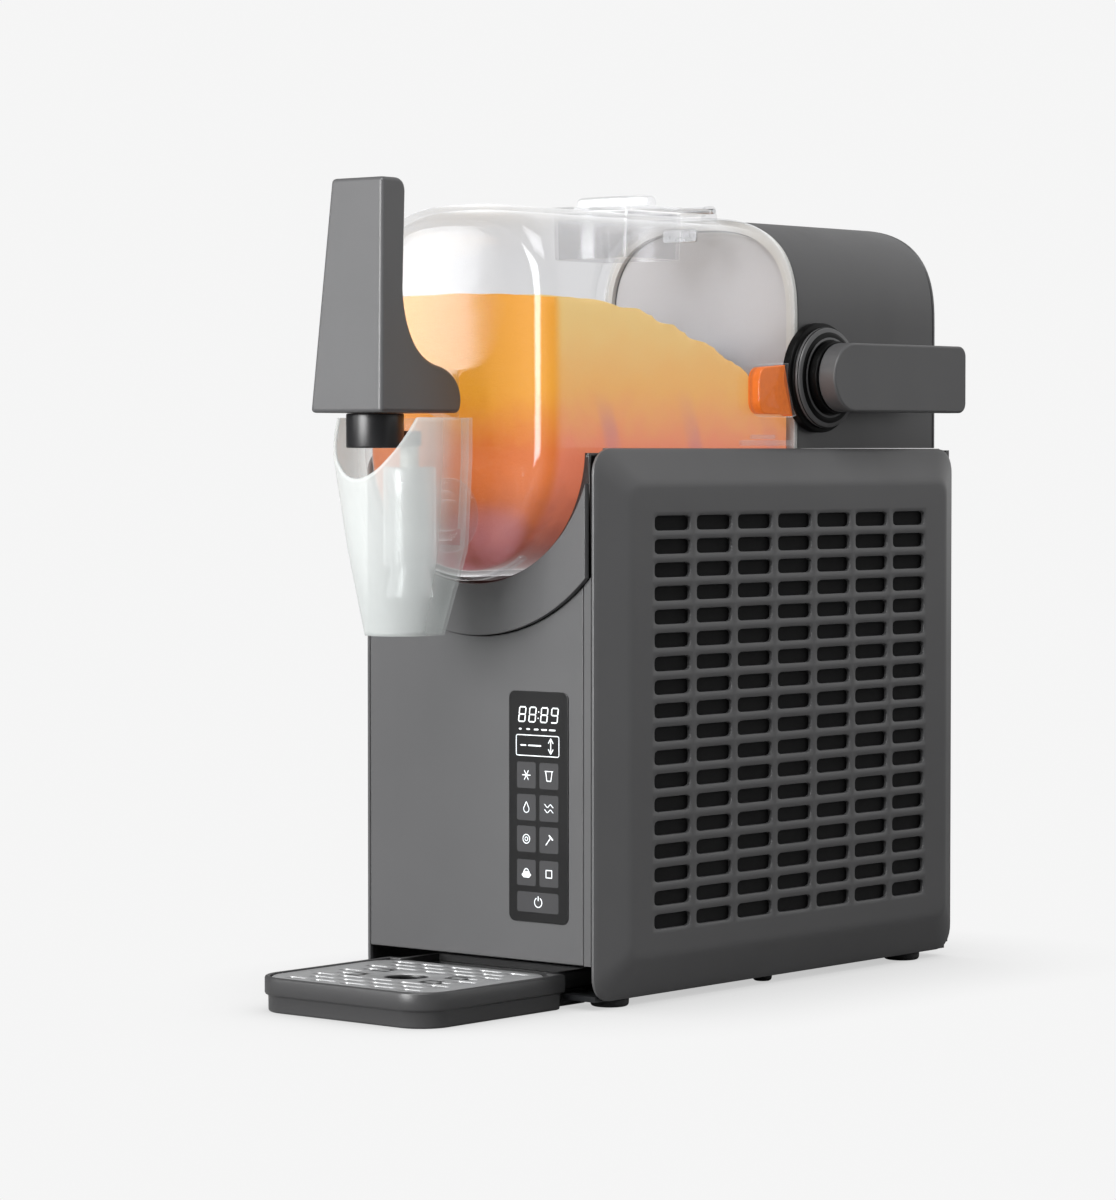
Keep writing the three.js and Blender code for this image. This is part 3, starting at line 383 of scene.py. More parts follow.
def slush_ice(name):
    """Crushed fruit ice: pale orange on the sides, deep orange in front, dark under the front."""
    f = Finish(name)
    c = colours()
    _, y, z = f.place()
    crystals = f.noise(520.0, 5.0, 0.7)
    clumps = f.noise(60.0, 4.0, 0.6)
    swirl = f.noise(26.0, 3.0, 0.5, (1, 0.6, 1))
    uneven = (clumps - 0.5) * 0.02
    upper = (z + uneven).step(0.325, 0.378)
    lower = (z + uneven).step(0.292, 0.335)
    side = f.blend(lower, c.slush_deep, f.blend(upper, c.slush_middle, c.slush_light))
    front_tone = f.blend(lower, (0.78, 0.16, 0.002), c.slush_front)
    in_front = 1 - y.step(ORIGIN[1] - 0.014, ORIGIN[1] - 0.008)
    body = f.blend(in_front, side, front_tone)
    # painted shade: low down, under the vessel's front, the slush colour is blended towards a dark
    # tone that stands for shade
    low = 1 - (z + uneven).step(0.236, 0.292)
    body = f.blend(low * 0.92, body, c.slush_dark)
    # painted shade of the auger's turns showing through the low side of the slush
    body = f.blend(auger_shadow(f, y, z, swirl), body, (0.55, 0.20, 0.24))
    # painted glints: random specks are blended towards a pale colour as glints on the crystals
    slush_colour_and_painted_glints = f.blend(crystals.step(0.6, 0.8) * 0.18, body, (1.0, 0.78, 0.45))
    normal = f.bump(crystals * 0.5 + clumps, 0.5, 0.001)
    shader = {
        "Base Color": f.blend(0.25, (0.0, 0.0, 0.0), slush_colour_and_painted_glints),
        "Roughness": 0.62 - (crystals - 0.5) * 0.3,
        # painted glow: the slush colour is emitted, so the slush lights itself though it is no lamp
        "Emission Color": slush_colour_and_painted_glints,
        "Emission Strength": 0.74,
        "Normal": normal,
    }
    return f.close(f.principled(shader))


def fruit_core(name):
    """Packed ice in the small lug, darker because little light reaches it."""
    f = Finish(name)
    crystals = f.noise(420.0, 5.0, 0.7)
    tint = f.blend(crystals, (0.50, 0.085, 0.001), (0.74, 0.17, 0.003))
    shader = {
        "Base Color": tint,
        "Roughness": 0.5,
        # painted glow: the tint is emitted, though the ice is no lamp
        "Emission Color": tint,
        "Emission Strength": 0.5,
        "Normal": f.bump(crystals, 0.4, 0.0008),
    }
    return f.close(f.principled(shader))


def auger_shadow(f, y, z, swirl):
    """How much the auger's turns show through the low side of the slush, 0 to 1."""
    turn = f.node(
        "ShaderNodeMath",
        {"operation": "SINE"},
        {0: (y + (z - AXIS_Z * MM) * 0.35) * (2 * math.pi / AUGER_TURN_LENGTH) + 2.1},
    )
    low_side = 1 - z.step(0.305, 0.335)
    return turn.step(0.72, 1.0) * low_side * swirl.step(0.3, 0.6) * 0.5


def plain_finishes():
    """The shared finishes of all pieces, by name.

    Plastics are (colour, roughness, grain depth, gloss) and metals are (colour, roughness,
    brush, metallic); the last two values may be left out."""
    c = colours()
    plastics = {
        "grey_shell": (tuple(c.shell), 0.38),
        "black_plastic": (tuple(c.black), 0.32),
        "hub_black": ((0.002, 0.002, 0.002), 0.4, 0.00003, 0.12),
        "tray_plastic": ((0.045, 0.045, 0.046), 0.36),
        "dark_plastic": ((0.12, 0.085, 0.125), 0.3),
        # painted shade: a near-black that stands for the shade in the hollow under the vessel
        "trough_plastic": ((0.012, 0.011, 0.011), 0.3),
        "black_glass": ((0.002, 0.002, 0.0023), 0.3, 0.0),
        "key_face": ((0.034, 0.034, 0.036), 0.4),
        "rubber": ((0.014, 0.014, 0.015), 0.75, 0.00008),
        "foam": ((0.0035, 0.0035, 0.004), 0.95, 0.0003),
        "white_seal": ((0.62, 0.62, 0.6), 0.6),
        "flange_plate": ((0.52, 0.52, 0.54), 0.3),
        "circuit_board": ((0.012, 0.11, 0.045), 0.45),
        "white_nylon": ((0.72, 0.71, 0.66), 0.42),
    }
    metals = {
        "steel": ((0.6, 0.61, 0.62), 0.25, (1, 0.04, 1)),
        "drum_steel": ((0.66, 0.67, 0.68), 0.28, (1, 12, 1)),
        "dark_steel": ((0.02, 0.021, 0.023), 0.4, (1, 1, 1), 0.3),
        "copper": ((0.72, 0.33, 0.17), 0.28),
        "aluminium": ((0.62, 0.63, 0.64), 0.38, (1, 1, 0.1)),
    }
    clears = {
        "clear_plastic": ((0.94, 0.94, 0.945), 0.012),
        "clear_lid": ((0.93, 0.93, 0.935), 0.05),
        "milky_plastic": ((0.9, 0.9, 0.9), 0.45, 0.3),
    }
    made = {}
    for maker, table in ((moulded_plastic, plastics), (metal, metals), (clear_plastic, clears)):
        made.update({name: maker(name, *values) for name, values in table.items()})
    made["display_mark"] = display_mark("display_mark", (0.75, 0.78, 0.8), 0.55)
    for maker in (frosted_plastic, grille_metal):
        made[maker.__name__] = maker(maker.__name__)
    made["slush"] = slush_ice("slush")
    made["slush_core"] = fruit_core("slush_core")
    return made


def display_mark(name, base, glow):
    """A printed or lit mark behind the control glass, with faint unevenness."""
    f = Finish(name)
    uneven = f.noise(400.0, 2.0, 0.5)
    tint = f.blend(uneven, scaled(base, 0.85), base)
    shader = {
        "Base Color": tint,
        "Roughness": 0.3 + uneven * 0.1,
        "Emission Color": tint,
        "Emission Strength": glow,
    }
    return f.close(f.principled(shader))


FINISHES = {}


def finish_of(name):
    if not FINISHES:
        FINISHES.update(plain_finishes())
    return FINISHES[name]


# ---- mesh helpers ------------------------------------------------------------


def put(points):
    """Machine millimetres as frame metres."""
    return np.asarray(points, float).reshape(-1, 3) * MM + ORIGIN


def grid_faces(rows, columns, wrap=True):
    """Quads of a grid of rows by columns points, closed round each row when wrap is set."""
    r, c = np.meshgrid(
        np.arange(rows - 1), np.arange(columns if wrap else columns - 1), indexing="ij"
    )
    d = (c + 1) % columns
    quads = [r * columns + c, r * columns + d, (r + 1) * columns + d, (r + 1) * columns + c]
    return np.stack(quads, -1).reshape(-1, 4)


def new_piece(name, points, faces, finish, body, replaced=(), slot=None, sharp=35.0):
    """A mesh from points in machine millimetres and faces, finished and riding on its body."""
    mesh = bpy.data.meshes.new(name)
    mesh.from_pydata(put(points).tolist(), [], [list(map(int, face)) for face in faces])
    mesh.validate()
    piece = bpy.data.objects.new(name, mesh)
    bpy.context.collection.objects.link(piece)
    mesh.materials.append(finish_of(finish))
    tidy_mesh(mesh, sharp)
    if replaced:
        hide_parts(*replaced)
    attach(piece, body)
    return piece


def tidy_mesh(mesh, sharp):
    """Merges doubled points, points faces outwards, and smooths all but sharp edges."""
    bm = bmesh.new()
    bm.from_mesh(mesh)
    bmesh.ops.remove_doubles(bm, verts=bm.verts, dist=1e-6)
    bmesh.ops.recalc_face_normals(bm, faces=bm.faces)
    limit = math.radians(sharp)
    for edge in bm.edges:
        if len(edge.link_faces) == 2:
            edge.smooth = edge.calc_face_angle(0.0) < limit
    for face in bm.faces:
        face.smooth = True
    bm.to_mesh(mesh)
    bm.free()


def bevel(piece, width_mm, segments=3, angle=35.0):
    """Rounds a piece's sharp edges; the rounded strips are shaded with their neighbours."""
    made = piece.modifiers.new("edges", "BEVEL")
    made.width = width_mm * MM
    made.segments = segments
    made.limit_method = "ANGLE"
    made.angle_limit = math.radians(angle)
    made.harden_normals = True
    return piece


def merged(parts):
    """Several (points, faces) as one; quads and polygons may be mixed."""
    points, faces, start = [], [], 0
    for part_points, part_faces in parts:
        part_points = np.asarray(part_points, float).reshape(-1, 3)
        points.append(part_points)
        faces.extend([tuple(np.asarray(face) + start) for face in part_faces])
        start += len(part_points)
    return np.concatenate(points), faces


def arc(cx, cy, radius, start, end, steps):
    """Points on a circle's arc, angles in degrees, both ends included."""
    angle = np.radians(np.linspace(start, end, steps + 1))
    return np.stack([cx + radius * np.cos(angle), cy + radius * np.sin(angle)], -1)


def rounded(a0, a1, b0, b1, radius, steps=8):
    """The outline of a rectangle with round corners, anticlockwise from its right side."""
    corners = [(a1, b1, 0), (a0, b1, 90), (a0, b0, 180), (a1, b0, 270)]
    signs = [(-1, -1), (1, -1), (1, 1), (-1, 1)]
    pieces = [
        arc(a + sa * radius, b + sb * radius, radius, turn, turn + 90, steps)
        for (a, b, turn), (sa, sb) in zip(corners, signs)
    ]
    return np.concatenate(pieces)


def spread(outline, axis, level):
    """A flat outline as 3-D points with the coordinate of axis (0, 1 or 2) at level."""
    outline = np.asarray(outline, float)
    return np.insert(outline, axis, level, axis=1)


def loft(loops, caps=(True, True)):
    """A skin through loops with the same number of points, with a polygon at each end."""
    loops = [np.asarray(loop, float) for loop in loops]
    return np.concatenate(loops), skin_faces(len(loops), len(loops[0]), caps)


def skin_faces(rows, count, caps=(True, True)):
    """Quads between rows of count points each, and a polygon over the first and last row."""
    faces = [tuple(face) for face in grid_faces(rows, count)]
    last = (rows - 1) * count
    if caps[0]:
        faces.append(tuple(range(count - 1, -1, -1)))
    if caps[1]:
        faces.append(tuple(range(last, last + count)))
    return faces


def prism(outline, axis, low, high):
    """An outline pulled along an axis from low to high."""
    return loft([spread(outline, axis, low), spread(outline, axis, high)])


def turned(profile, axis, centre, steps=64):
    """A profile of (radius, along) pairs turned round an axis through centre.

    Each point is centre + radius * (cos, sin) in the two other axes, and along in axis."""
    profile = np.asarray(profile, float)
    angle = np.linspace(0, 2 * np.pi, steps, endpoint=False)
    radius, along = profile[:, 0:1], profile[:, 1:2]
    a = centre[0] + radius * np.cos(angle)
    b = centre[1] + radius * np.sin(angle)
    c = np.broadcast_to(along, a.shape)
    others = [i for i in range(3) if i != axis]
    points = np.empty((len(profile), steps, 3))
    points[..., others[0]] = a
    points[..., others[1]] = b
    points[..., axis] = c
    return points.reshape(-1, 3), skin_faces(len(profile), steps)


def softened(profile, radius=0.8, steps=3):
    """A (radius, along) profile whose outer corners are rounded by short quadratic curves."""
    profile = [np.asarray(point, float) for point in profile]
    made = [profile[0]]
    for before, here, after in zip(profile, profile[1:], profile[2:]):
        back, on = before - here, after - here
        cut_a = here + back * min(0.45, radius / max(np.linalg.norm(back), 1e-6))
        cut_b = here + on * min(0.45, radius / max(np.linalg.norm(on), 1e-6))
        for t in np.linspace(0, 1, steps + 1):
            made.append((1 - t) ** 2 * cut_a + 2 * t * (1 - t) * here + t**2 * cut_b)
    made.append(profile[-1])
    return made


# ---- shared sections ---------------------------------------------------------


def crown_line(half, steps=48, power=CROWN_POWER):
    """The crowned top from right to left: a superellipse over the shoulder height."""
    rise = CROWN - (VESSEL_HALF - half)
    angle = np.linspace(0, np.pi, steps + 1)
    c, s = np.cos(angle), np.maximum(np.sin(angle), 0)
    x = half * np.sign(c) * np.abs(c) ** (2 / power)
    return np.stack([x, SHOULDER_Z + rise * s ** (2 / power)], -1)


def vessel_section(half, steps=48):
    """Crowned top, straight sides and a round bottom about the drum's axis."""
    side_right = np.stack([np.full(6, half), np.linspace(AXIS_Z, SHOULDER_Z, 7)[:-1]], -1)
    side_left = side_right[::-1] * [-1, 1]
    bottom = arc(0, AXIS_Z, half, 180, 360, steps)[1:-1]
    return np.concatenate([side_right, crown_line(half, steps), side_left, bottom])


def vessel_profile(inset=0.0, steps=10):
    """(y, half width) pairs from the flat front over its rounded edge to the open rear."""
    angle = np.radians(np.linspace(0, 90, steps + 1))
    reach = VESSEL_HALF - FACE_HALF_WIDTH - inset * 0.3
    y = VESSEL_FRONT + inset + reach * (1 - np.cos(angle))
    half = VESSEL_HALF - inset - reach * (1 - np.sin(angle))
    return np.stack([y, half], -1)


# ---- vents -------------------------------------------------------------------

VENT_COLUMNS = 7
VENT_ROWS = 18
VENT_FIRST = (57.1, 44.8)
VENT_PITCH = (36.5, 12.59)
VENT_HALF = (15.5, 3.95)


def cell_loop(half_a, half_b, radius, along=10, across=6):
    """A closed loop with along points to each long side and across to each short side.

    Points run evenly round a rectangle; those within radius of a corner are pulled on to the
    corner's arc, so loops of different radius still match point for point."""
    a = np.linspace(-1, 1, along + 1)[:-1]
    b = np.linspace(-1, 1, across + 1)[:-1]
    square = np.concatenate(
        [
            np.stack([a, np.full(along, -1.0)], -1),
            np.stack([np.full(across, 1.0), b], -1),
            np.stack([-a, np.full(along, 1.0)], -1),
            np.stack([np.full(across, -1.0), -b], -1),
        ]
    )
    loop = square * [half_a, half_b]
    if radius <= 0:
        return loop
    core = np.clip(loop, [radius - half_a, radius - half_b], [half_a - radius, half_b - radius])
    away = loop - core
    length = np.maximum(np.linalg.norm(away, axis=1, keepdims=True), 1e-9)
    on_arc = core + away / length * radius
    return np.where(np.linalg.norm(away, axis=1, keepdims=True) > 1e-6, on_arc, loop)


def pierced_cells(centres, cell_half, slot_half, radius, depth, lip=0.5):
    """Slotted sheet: each cell is a ring from its border to a slot's mouth, over a rounded lip
    and down the slot's wall. Returns points (a, b, depth) and quads for all cells at once."""
    edge = lip * 0.3
    loops = [
        (cell_loop(*cell_half, 0.0), 0.0),
        (cell_loop(slot_half[0] + lip, slot_half[1] + lip, radius + lip), 0.0),
        (cell_loop(slot_half[0] + edge, slot_half[1] + edge, radius + edge), -edge),
        (cell_loop(*slot_half, radius), -lip),
        (cell_loop(*slot_half, radius), -depth),
    ]
    count = len(loops[0][0])
    cell = np.concatenate([np.column_stack([loop, np.full(count, d)]) for loop, d in loops])
    centres = np.asarray(centres, float)
    shift = np.column_stack([centres, np.zeros(len(centres))])
    points = (cell[None] + shift[:, None]).reshape(-1, 3)
    quads = grid_faces(len(loops), count)
    faces = (quads[None] + (np.arange(len(centres)) * len(cell))[:, None, None]).reshape(-1, 4)
    return points, faces


def border_loop(a_edges, b_edges, along, across):
    """The outer border of a block of cells, point for point with the cells' own borders."""
    a = np.concatenate([np.linspace(p, q, along + 1)[:-1] for p, q in zip(a_edges, a_edges[1:])])
    b = np.concatenate([np.linspace(p, q, across + 1)[:-1] for p, q in zip(b_edges, b_edges[1:])])
    a0, a1, b0, b1 = a_edges[0], a_edges[-1], b_edges[0], b_edges[-1]
    return np.concatenate(
        [
            np.stack([a, np.full(len(a), b0)], -1),
            np.stack([np.full(len(b), a1), b], -1),
            np.stack([a0 + a1 - a, np.full(len(a), b1)], -1),
            np.stack([np.full(len(b), a0), b0 + b1 - b], -1),
        ]
    )


def mapped_loop(loop, a0, a1, b0, b1, radius):
    """loop, stretched from its own box on to the box a0..a1 by b0..b1 with round corners."""
    low, high = loop.min(0), loop.max(0)
    centre = np.array([(a0 + a1) / 2, (b0 + b1) / 2])
    half = np.array([(a1 - a0) / 2, (b1 - b0) / 2])
    local = ((loop - low) / (high - low) * 2 - 1) * half
    core = np.clip(local, radius - half, half - radius)
    away = local - core
    length = np.linalg.norm(away, axis=1, keepdims=True)
    safe = np.where(length > 1e-6, away / np.maximum(length, 1e-9) * radius, away)
    return centre + core + safe


def panel_rings(loop):
    """The panel outside its vent field: flat face, rounded bevel, rim and returned edge."""
    bottom, top = PANEL_LOW[2], PANEL_HIGH[2]
    front, rear = PANEL_LOW[1], PANEL_HIGH[1]
    face_out = PANEL_HIGH[0]
    rim_out = face_out - 8
    face = (22, 314, 25.8, 280.3)
    rings = []

    def ring(x, grow_to_rim, inset, radius):
        mix = grow_to_rim
        a0 = face[0] * (1 - mix) + (front + inset) * mix
        a1 = face[1] * (1 - mix) + (rear - inset) * mix
        b0 = face[2] * (1 - mix) + (bottom + inset) * mix
        b1 = face[3] * (1 - mix) + (top - inset) * mix
        rings.append((x, mapped_loop(loop, a0, a1, b0, b1, radius)))

    ring(face_out, -0.16, 0, 5)
    ring(face_out - 0.05, -0.06, 0, 7)
    ring(face_out - 0.35, 0.04, 0, 8)
    for mix in (0.14, 0.5, 0.86):
        ring(face_out - 8 * mix, mix, 0, 8 + 5 * mix)
    ring(rim_out + 0.45, 0.95, 0, 13)
    ring(rim_out - 0.15, 0.995, 0, 13.2)
    ring(rim_out - 0.8, 1, 0, 13.3)
    ring(PANEL_LOW[0] + 0.3, 1, 0, 13.3)
    ring(PANEL_LOW[0], 1, 0.4, 13)
    ring(PANEL_LOW[0], 1, 2.2, 11)
    ring(rim_out - 0.8, 1, 2.4, 11)
    ring(face_out - 2.3, 0.06, 0, 7)
    return rings


def side_panel(side, sign):
    centres = [
        (VENT_FIRST[0] + column * VENT_PITCH[0], VENT_FIRST[1] + row * VENT_PITCH[1])
        for column in range(VENT_COLUMNS)
        for row in range(VENT_ROWS)
    ]
    cell_half = (VENT_PITCH[0] / 2, VENT_PITCH[1] / 2)
    radius = sizes().vent_corner / MM
    cells, cell_faces = pierced_cells(centres, cell_half, VENT_HALF, radius, 2.2)
    face_x = PANEL_HIGH[0]
    cell_points = np.stack([face_x + cells[:, 2], cells[:, 0], cells[:, 1]], -1)
    a_edges = VENT_FIRST[0] - cell_half[0] + np.arange(VENT_COLUMNS + 1) * VENT_PITCH[0]
    b_edges = VENT_FIRST[1] - cell_half[1] + np.arange(VENT_ROWS + 1) * VENT_PITCH[1]
    loop = border_loop(a_edges, b_edges, 10, 6)
    loops = [spread(loop, 0, face_x)]
    loops += [spread(outline, 0, x) for x, outline in panel_rings(loop)]
    skin = loft(loops, caps=(False, False))
    points, faces = merged([(cell_points, cell_faces), skin])
    points[:, 0] *= sign
    name = f"side_panel_{side}"
    new_piece(f"{name}_moulding", points, faces, "grey_shell", "base", [name], sharp=28)


# ---- housing -----------------------------------------------------------------


def front_outline(x0, x1):
    """A front plate between x0 and x1 whose top follows the crescent's circle."""
    radius = APRON_OUTER + 0.35
    x = np.linspace(x1, x0, 64)
    top = APRON_Z - np.sqrt(radius**2 - x**2)
    return np.concatenate([[(x0, FRONT_LOW[2]), (x1, FRONT_LOW[2])], np.stack([x, top], -1)])


def front_plate():
    """Main plate, a strip along its right edge, and the shelf behind the spout."""
    seam = 74.2
    half = FRONT_HIGH[0]
    main = new_piece(
        "front_plate", *prism(front_outline(-half, seam - 0.3), 1, 0, 3), "grey_shell", "base",
        ["front_panel"],
    )
    bevel(main, 0.7)
    strip = new_piece(
        "front_plate_strip", *prism(front_outline(seam + 0.3, half), 1, 0, 3), "grey_shell", "base"
    )
    bevel(strip, 1.0)
    shelf = prism(rounded(-42, 42, 202.4, 205.4, 1.2, 3), 1, 3.1, 72)
    bevel(new_piece("condensate_shelf", *shelf, "grey_shell", "base"), 0.3, 2)


def crescent():
    """The removable apron: a band between two circles about one centre, with its trough."""
    edge = 78.0
    outer = math.degrees(math.asin(edge / APRON_OUTER))
    inner = math.degrees(math.asin(edge / APRON_INNER))
    outline = np.concatenate(
        [
            arc(0, APRON_Z, APRON_OUTER, 270 - outer, 270 + outer, 72),
            arc(0, APRON_Z, APRON_INNER, 270 + inner, 270 - inner, 72),
        ]
    )
    band = new_piece(
        "condensate_apron", *prism(outline, 1, -3.6, 0), "grey_shell", "condensate_tray",
        ["condensate_tray"],
    )
    bevel(band, 0.9)
    outside = rounded(-38, 38, 0, 70, 4, 5)
    inside = rounded(-36, 36, 2, 68, 3, 5)
    loops = [
        spread(outside, 2, 206), spread(outside, 2, 220.6), spread(inside, 2, 221),
        spread(inside, 2, 208),
    ]
    trough = new_piece("condensate_trough", *loft(loops), "grey_shell", "condensate_tray")
    bevel(trough, 0.3, 2)


def cradle_trough():
    """The dark hollow under the vessel: a front wall cut by the vessel's circle, and a trough."""
    low, high = node_mm("vessel_cradle")
    half = high[0]
    angle = np.radians(np.linspace(182.5, 357.5, 97))
    y = np.array([high[1], 6.5, 3.9, 3.3, 3.3])
    radius = np.array([73.0, 73.0, 73.3, 74.0, 76.0])
    ring = np.stack([np.cos(angle), np.sin(angle)], -1)
    inner = radius[:, None, None] * ring
    points = np.stack(
        [inner[..., 0], np.broadcast_to(y[:, None], inner.shape[:2]), AXIS_Z + inner[..., 1]], -1
    )
    trough = (points.reshape(-1, 3), grid_faces(len(y), len(angle), wrap=False))
    x = 76 * np.cos(angle)
    wall_top = np.stack([x, np.full(97, 3.3), AXIS_Z + 76 * np.sin(angle)], -1)
    wall_low = np.stack([x * half / 76, np.full(97, 3.3), np.full(97, low[2])], -1)
    wall = (np.concatenate([wall_top, wall_low]), grid_faces(2, 97, wrap=False))
    made = new_piece(
        "cradle_trough", *merged([trough, wall]), "trough_plastic", "base", ["vessel_cradle"]
    )
    solid = made.modifiers.new("wall", "SOLIDIFY")
    solid.thickness = 2.2 * MM
    solid.offset = 0


def tower():
    """The crowned section drawn from front to rear, a little smaller at both ends."""
    bottom = TOWER_LOW[2]
    front, rear = TOWER_LOW[1], TOWER_HIGH[1]
    half = TOWER_HIGH[0]

    def section(inset):
        line = crown_line(half - inset)
        return np.concatenate([line, [(-half + inset, bottom), (half - inset, bottom)]])

    def at(y, inset):
        return spread(section(inset), 1, y)

    front_face = [at(front + 2.6, 20), at(front + 0.2, 18), at(front, 3.0)]
    edges = [at(front + 0.2, 1.0), at(front + 1.0, 0.2), at(front + 2.2, 0)]
    body = [at(rear - 0.6, 0), at(rear, 0.6), at(rear, 3)]
    new_piece(
        "tower_moulding", *loft(front_face + edges + body), "grey_shell", "base", ["tower_shell"]
    )
    cover_low, cover_high = node_mm("tower_back_cover")
    cover = [
        at(cover_low[1], 2), at(cover_low[1], 0.5), at(cover_low[1] + 0.5, 0),
        at(cover_high[1] - 1.6, 0), at(cover_high[1] - 0.5, 0.5), at(cover_high[1], 1.7),
        at(cover_high[1], 6),
    ]
    new_piece("tower_back_moulding", *loft(cover), "grey_shell", "base", ["tower_back_cover"])
    flange_line = np.concatenate([crown_line(63), arc(0, AXIS_Z + 2.0, 63, 182, 358, 40)])
    plate = loft([spread(flange_line, 1, front - 0.28), spread(flange_line, 1, front - 0.02)])
    new_piece("drum_flange_plate", *plate, "flange_plate", "base", slot="steel")


def deck_and_plates():
    """Five bevelled deck strips round the vessel and the tower."""
    low, high = node_mm("top_deck")
    bars = [
        rounded(75.2, high[0], 14, 318, 0.8, 2),
        rounded(low[0], -75.2, 14, 318, 0.8, 2),
        rounded(-75.1, 75.1, high[1] - 10, high[1], 0.8, 2),
        rounded(60, 75.1, 196, high[1] - 10.1, 0.8, 2),
        rounded(-75.1, -60, 196, high[1] - 10.1, 0.8, 2),
    ]
    parts = [prism(bar, 2, low[2], high[2]) for bar in bars]
    bevel(
        new_piece("deck_plates", *merged(parts), "grey_shell", "base", ["top_deck"]), 0.4, 2
    )


def feet_and_gland():
    """Each foot is a rounded profile turned about its own upright axis."""
    for place in ("front", "rear", "middle"):
        for side in ("left", "right"):
            name = f"foot_{place}_{side}"
            low, high = node_mm(name)
            radius = (high[0] - low[0]) / 2
            centre = (low + high) / 2
            profile = [
                (0.01, low[2]), (radius * 0.7, low[2]), (radius - 1.6, low[2]),
                (radius - 0.6, low[2] + 0.5), (radius - 0.1, low[2] + 1.6), (radius, high[2]),
                (0.01, high[2]),
            ]
            shape = turned(softened(profile, 0.5), 2, centre[:2], 40)
            new_piece(f"{name}_pad", *shape, "rubber", "base", [name])


# ---- control panel -----------------------------------------------------------


def bar_mark(x0, z0, x1, z1, width, y=-0.66):
    """A thin raised stroke of a printed mark from one point to another."""
    start, end = np.array([x0, z0], float), np.array([x1, z1], float)
    along = end - start
    along /= max(np.linalg.norm(along), 1e-9)
    across = np.array([-along[1], along[0]]) * width / 2
    tip = along * width / 2
    outline = [start - tip, start - across, end - across, end + tip, end + across, start + across]
    return prism(outline, 1, y, y + 0.08)


def digit(x, z, width, height, lit):
    """A seven-bar digit leaning a little to the right."""
    lean = 0.12
    corners = {
        "a": (0, 1, 1, 1), "b": (1, 1, 1, 0.5), "c": (1, 0.5, 1, 0), "d": (0, 0, 1, 0),
        "e": (0, 0.5, 0, 0), "f": (0, 1, 0, 0.5), "g": (0, 0.5, 1, 0.5),
    }
    marks = []
    for key in lit:
        ax, az, bx, bz = corners[key]
        gap = 0.12
        px, qx = ax + (bx - ax) * gap, bx - (bx - ax) * gap
        pz, qz = az + (bz - az) * gap, bz - (bz - az) * gap
        marks.append(
            bar_mark(
                x + px * width + pz * height * lean, z + pz * height,
                x + qx * width + qz * height * lean, z + qz * height, 0.75,
            )
        )
    return marks


def polyline_mark(points, width=0.55):
    return [bar_mark(*p, *q, width) for p, q in zip(points, points[1:])]


def circle_points(cx, cz, radius, start=0, end=360, steps=16):
    return [tuple(point) for point in arc(cx, cz, radius, start, end, steps)]


def key_symbols(centres):
    """Plain pictograms: snowflake, cup, drop, wave, ring, brush, lock and stop square."""
    marks = []
    (ax, az), (bx, bz), (cx, cz), (dx, dz), (ex, ez), (fx, fz), (gx, gz), (hx, hz) = centres
    for turn in (0, 60, 120):
        c, s = math.cos(math.radians(turn)) * 2.8, math.sin(math.radians(turn)) * 2.8
        marks.append(bar_mark(ax - c, az - s, ax + c, az + s, 0.5))
    cup = [(bx - 2.2, bz + 2.4), (bx - 1.4, bz - 2.6), (bx + 1.4, bz - 2.6), (bx + 2.2, bz + 2.4)]
    marks += polyline_mark(cup)
    marks.append(bar_mark(bx - 2.8, bz + 2.6, bx + 2.8, bz + 2.6, 0.5))
    drop = [(cx, cz + 3), *circle_points(cx, cz - 0.9, 1.9, 40, -220, 14), (cx, cz + 3)]
    marks += polyline_mark(drop, 0.5)
    for row in (-1.4, 1.4):
        wave = [(dx + t, dz + row + 0.8 * math.sin(t * 1.5)) for t in np.linspace(-3, 3, 13)]
        marks += polyline_mark([(float(a), float(b)) for a, b in wave], 0.5)
    marks += polyline_mark(circle_points(ex, ez, 2.4), 0.5)
    marks += polyline_mark(circle_points(ex, ez, 1.0), 0.5)
    marks.append(bar_mark(fx - 2, fz - 2.5, fx + 1.2, fz + 1.4, 0.6))
    marks += polyline_mark([(fx + 0.2, fz + 2.6), (fx + 2.6, fz + 0.4)], 0.9)
    marks += polyline_mark([(gx - 2, gz + 0.4), (gx + 2, gz + 0.4)], 0.7)
    marks += [bar_mark(gx - 1.9, gz - 1.2, gx + 1.9, gz - 1.2, 3.0)]
    marks += polyline_mark(circle_points(gx, gz + 0.6, 1.5, 0, 180, 10), 0.6)
    marks += polyline_mark(
        [(hx - 2, hz - 2), (hx + 2, hz - 2), (hx + 2, hz + 2), (hx - 2, hz + 2), (hx - 2, hz - 2)]
    )
    return marks


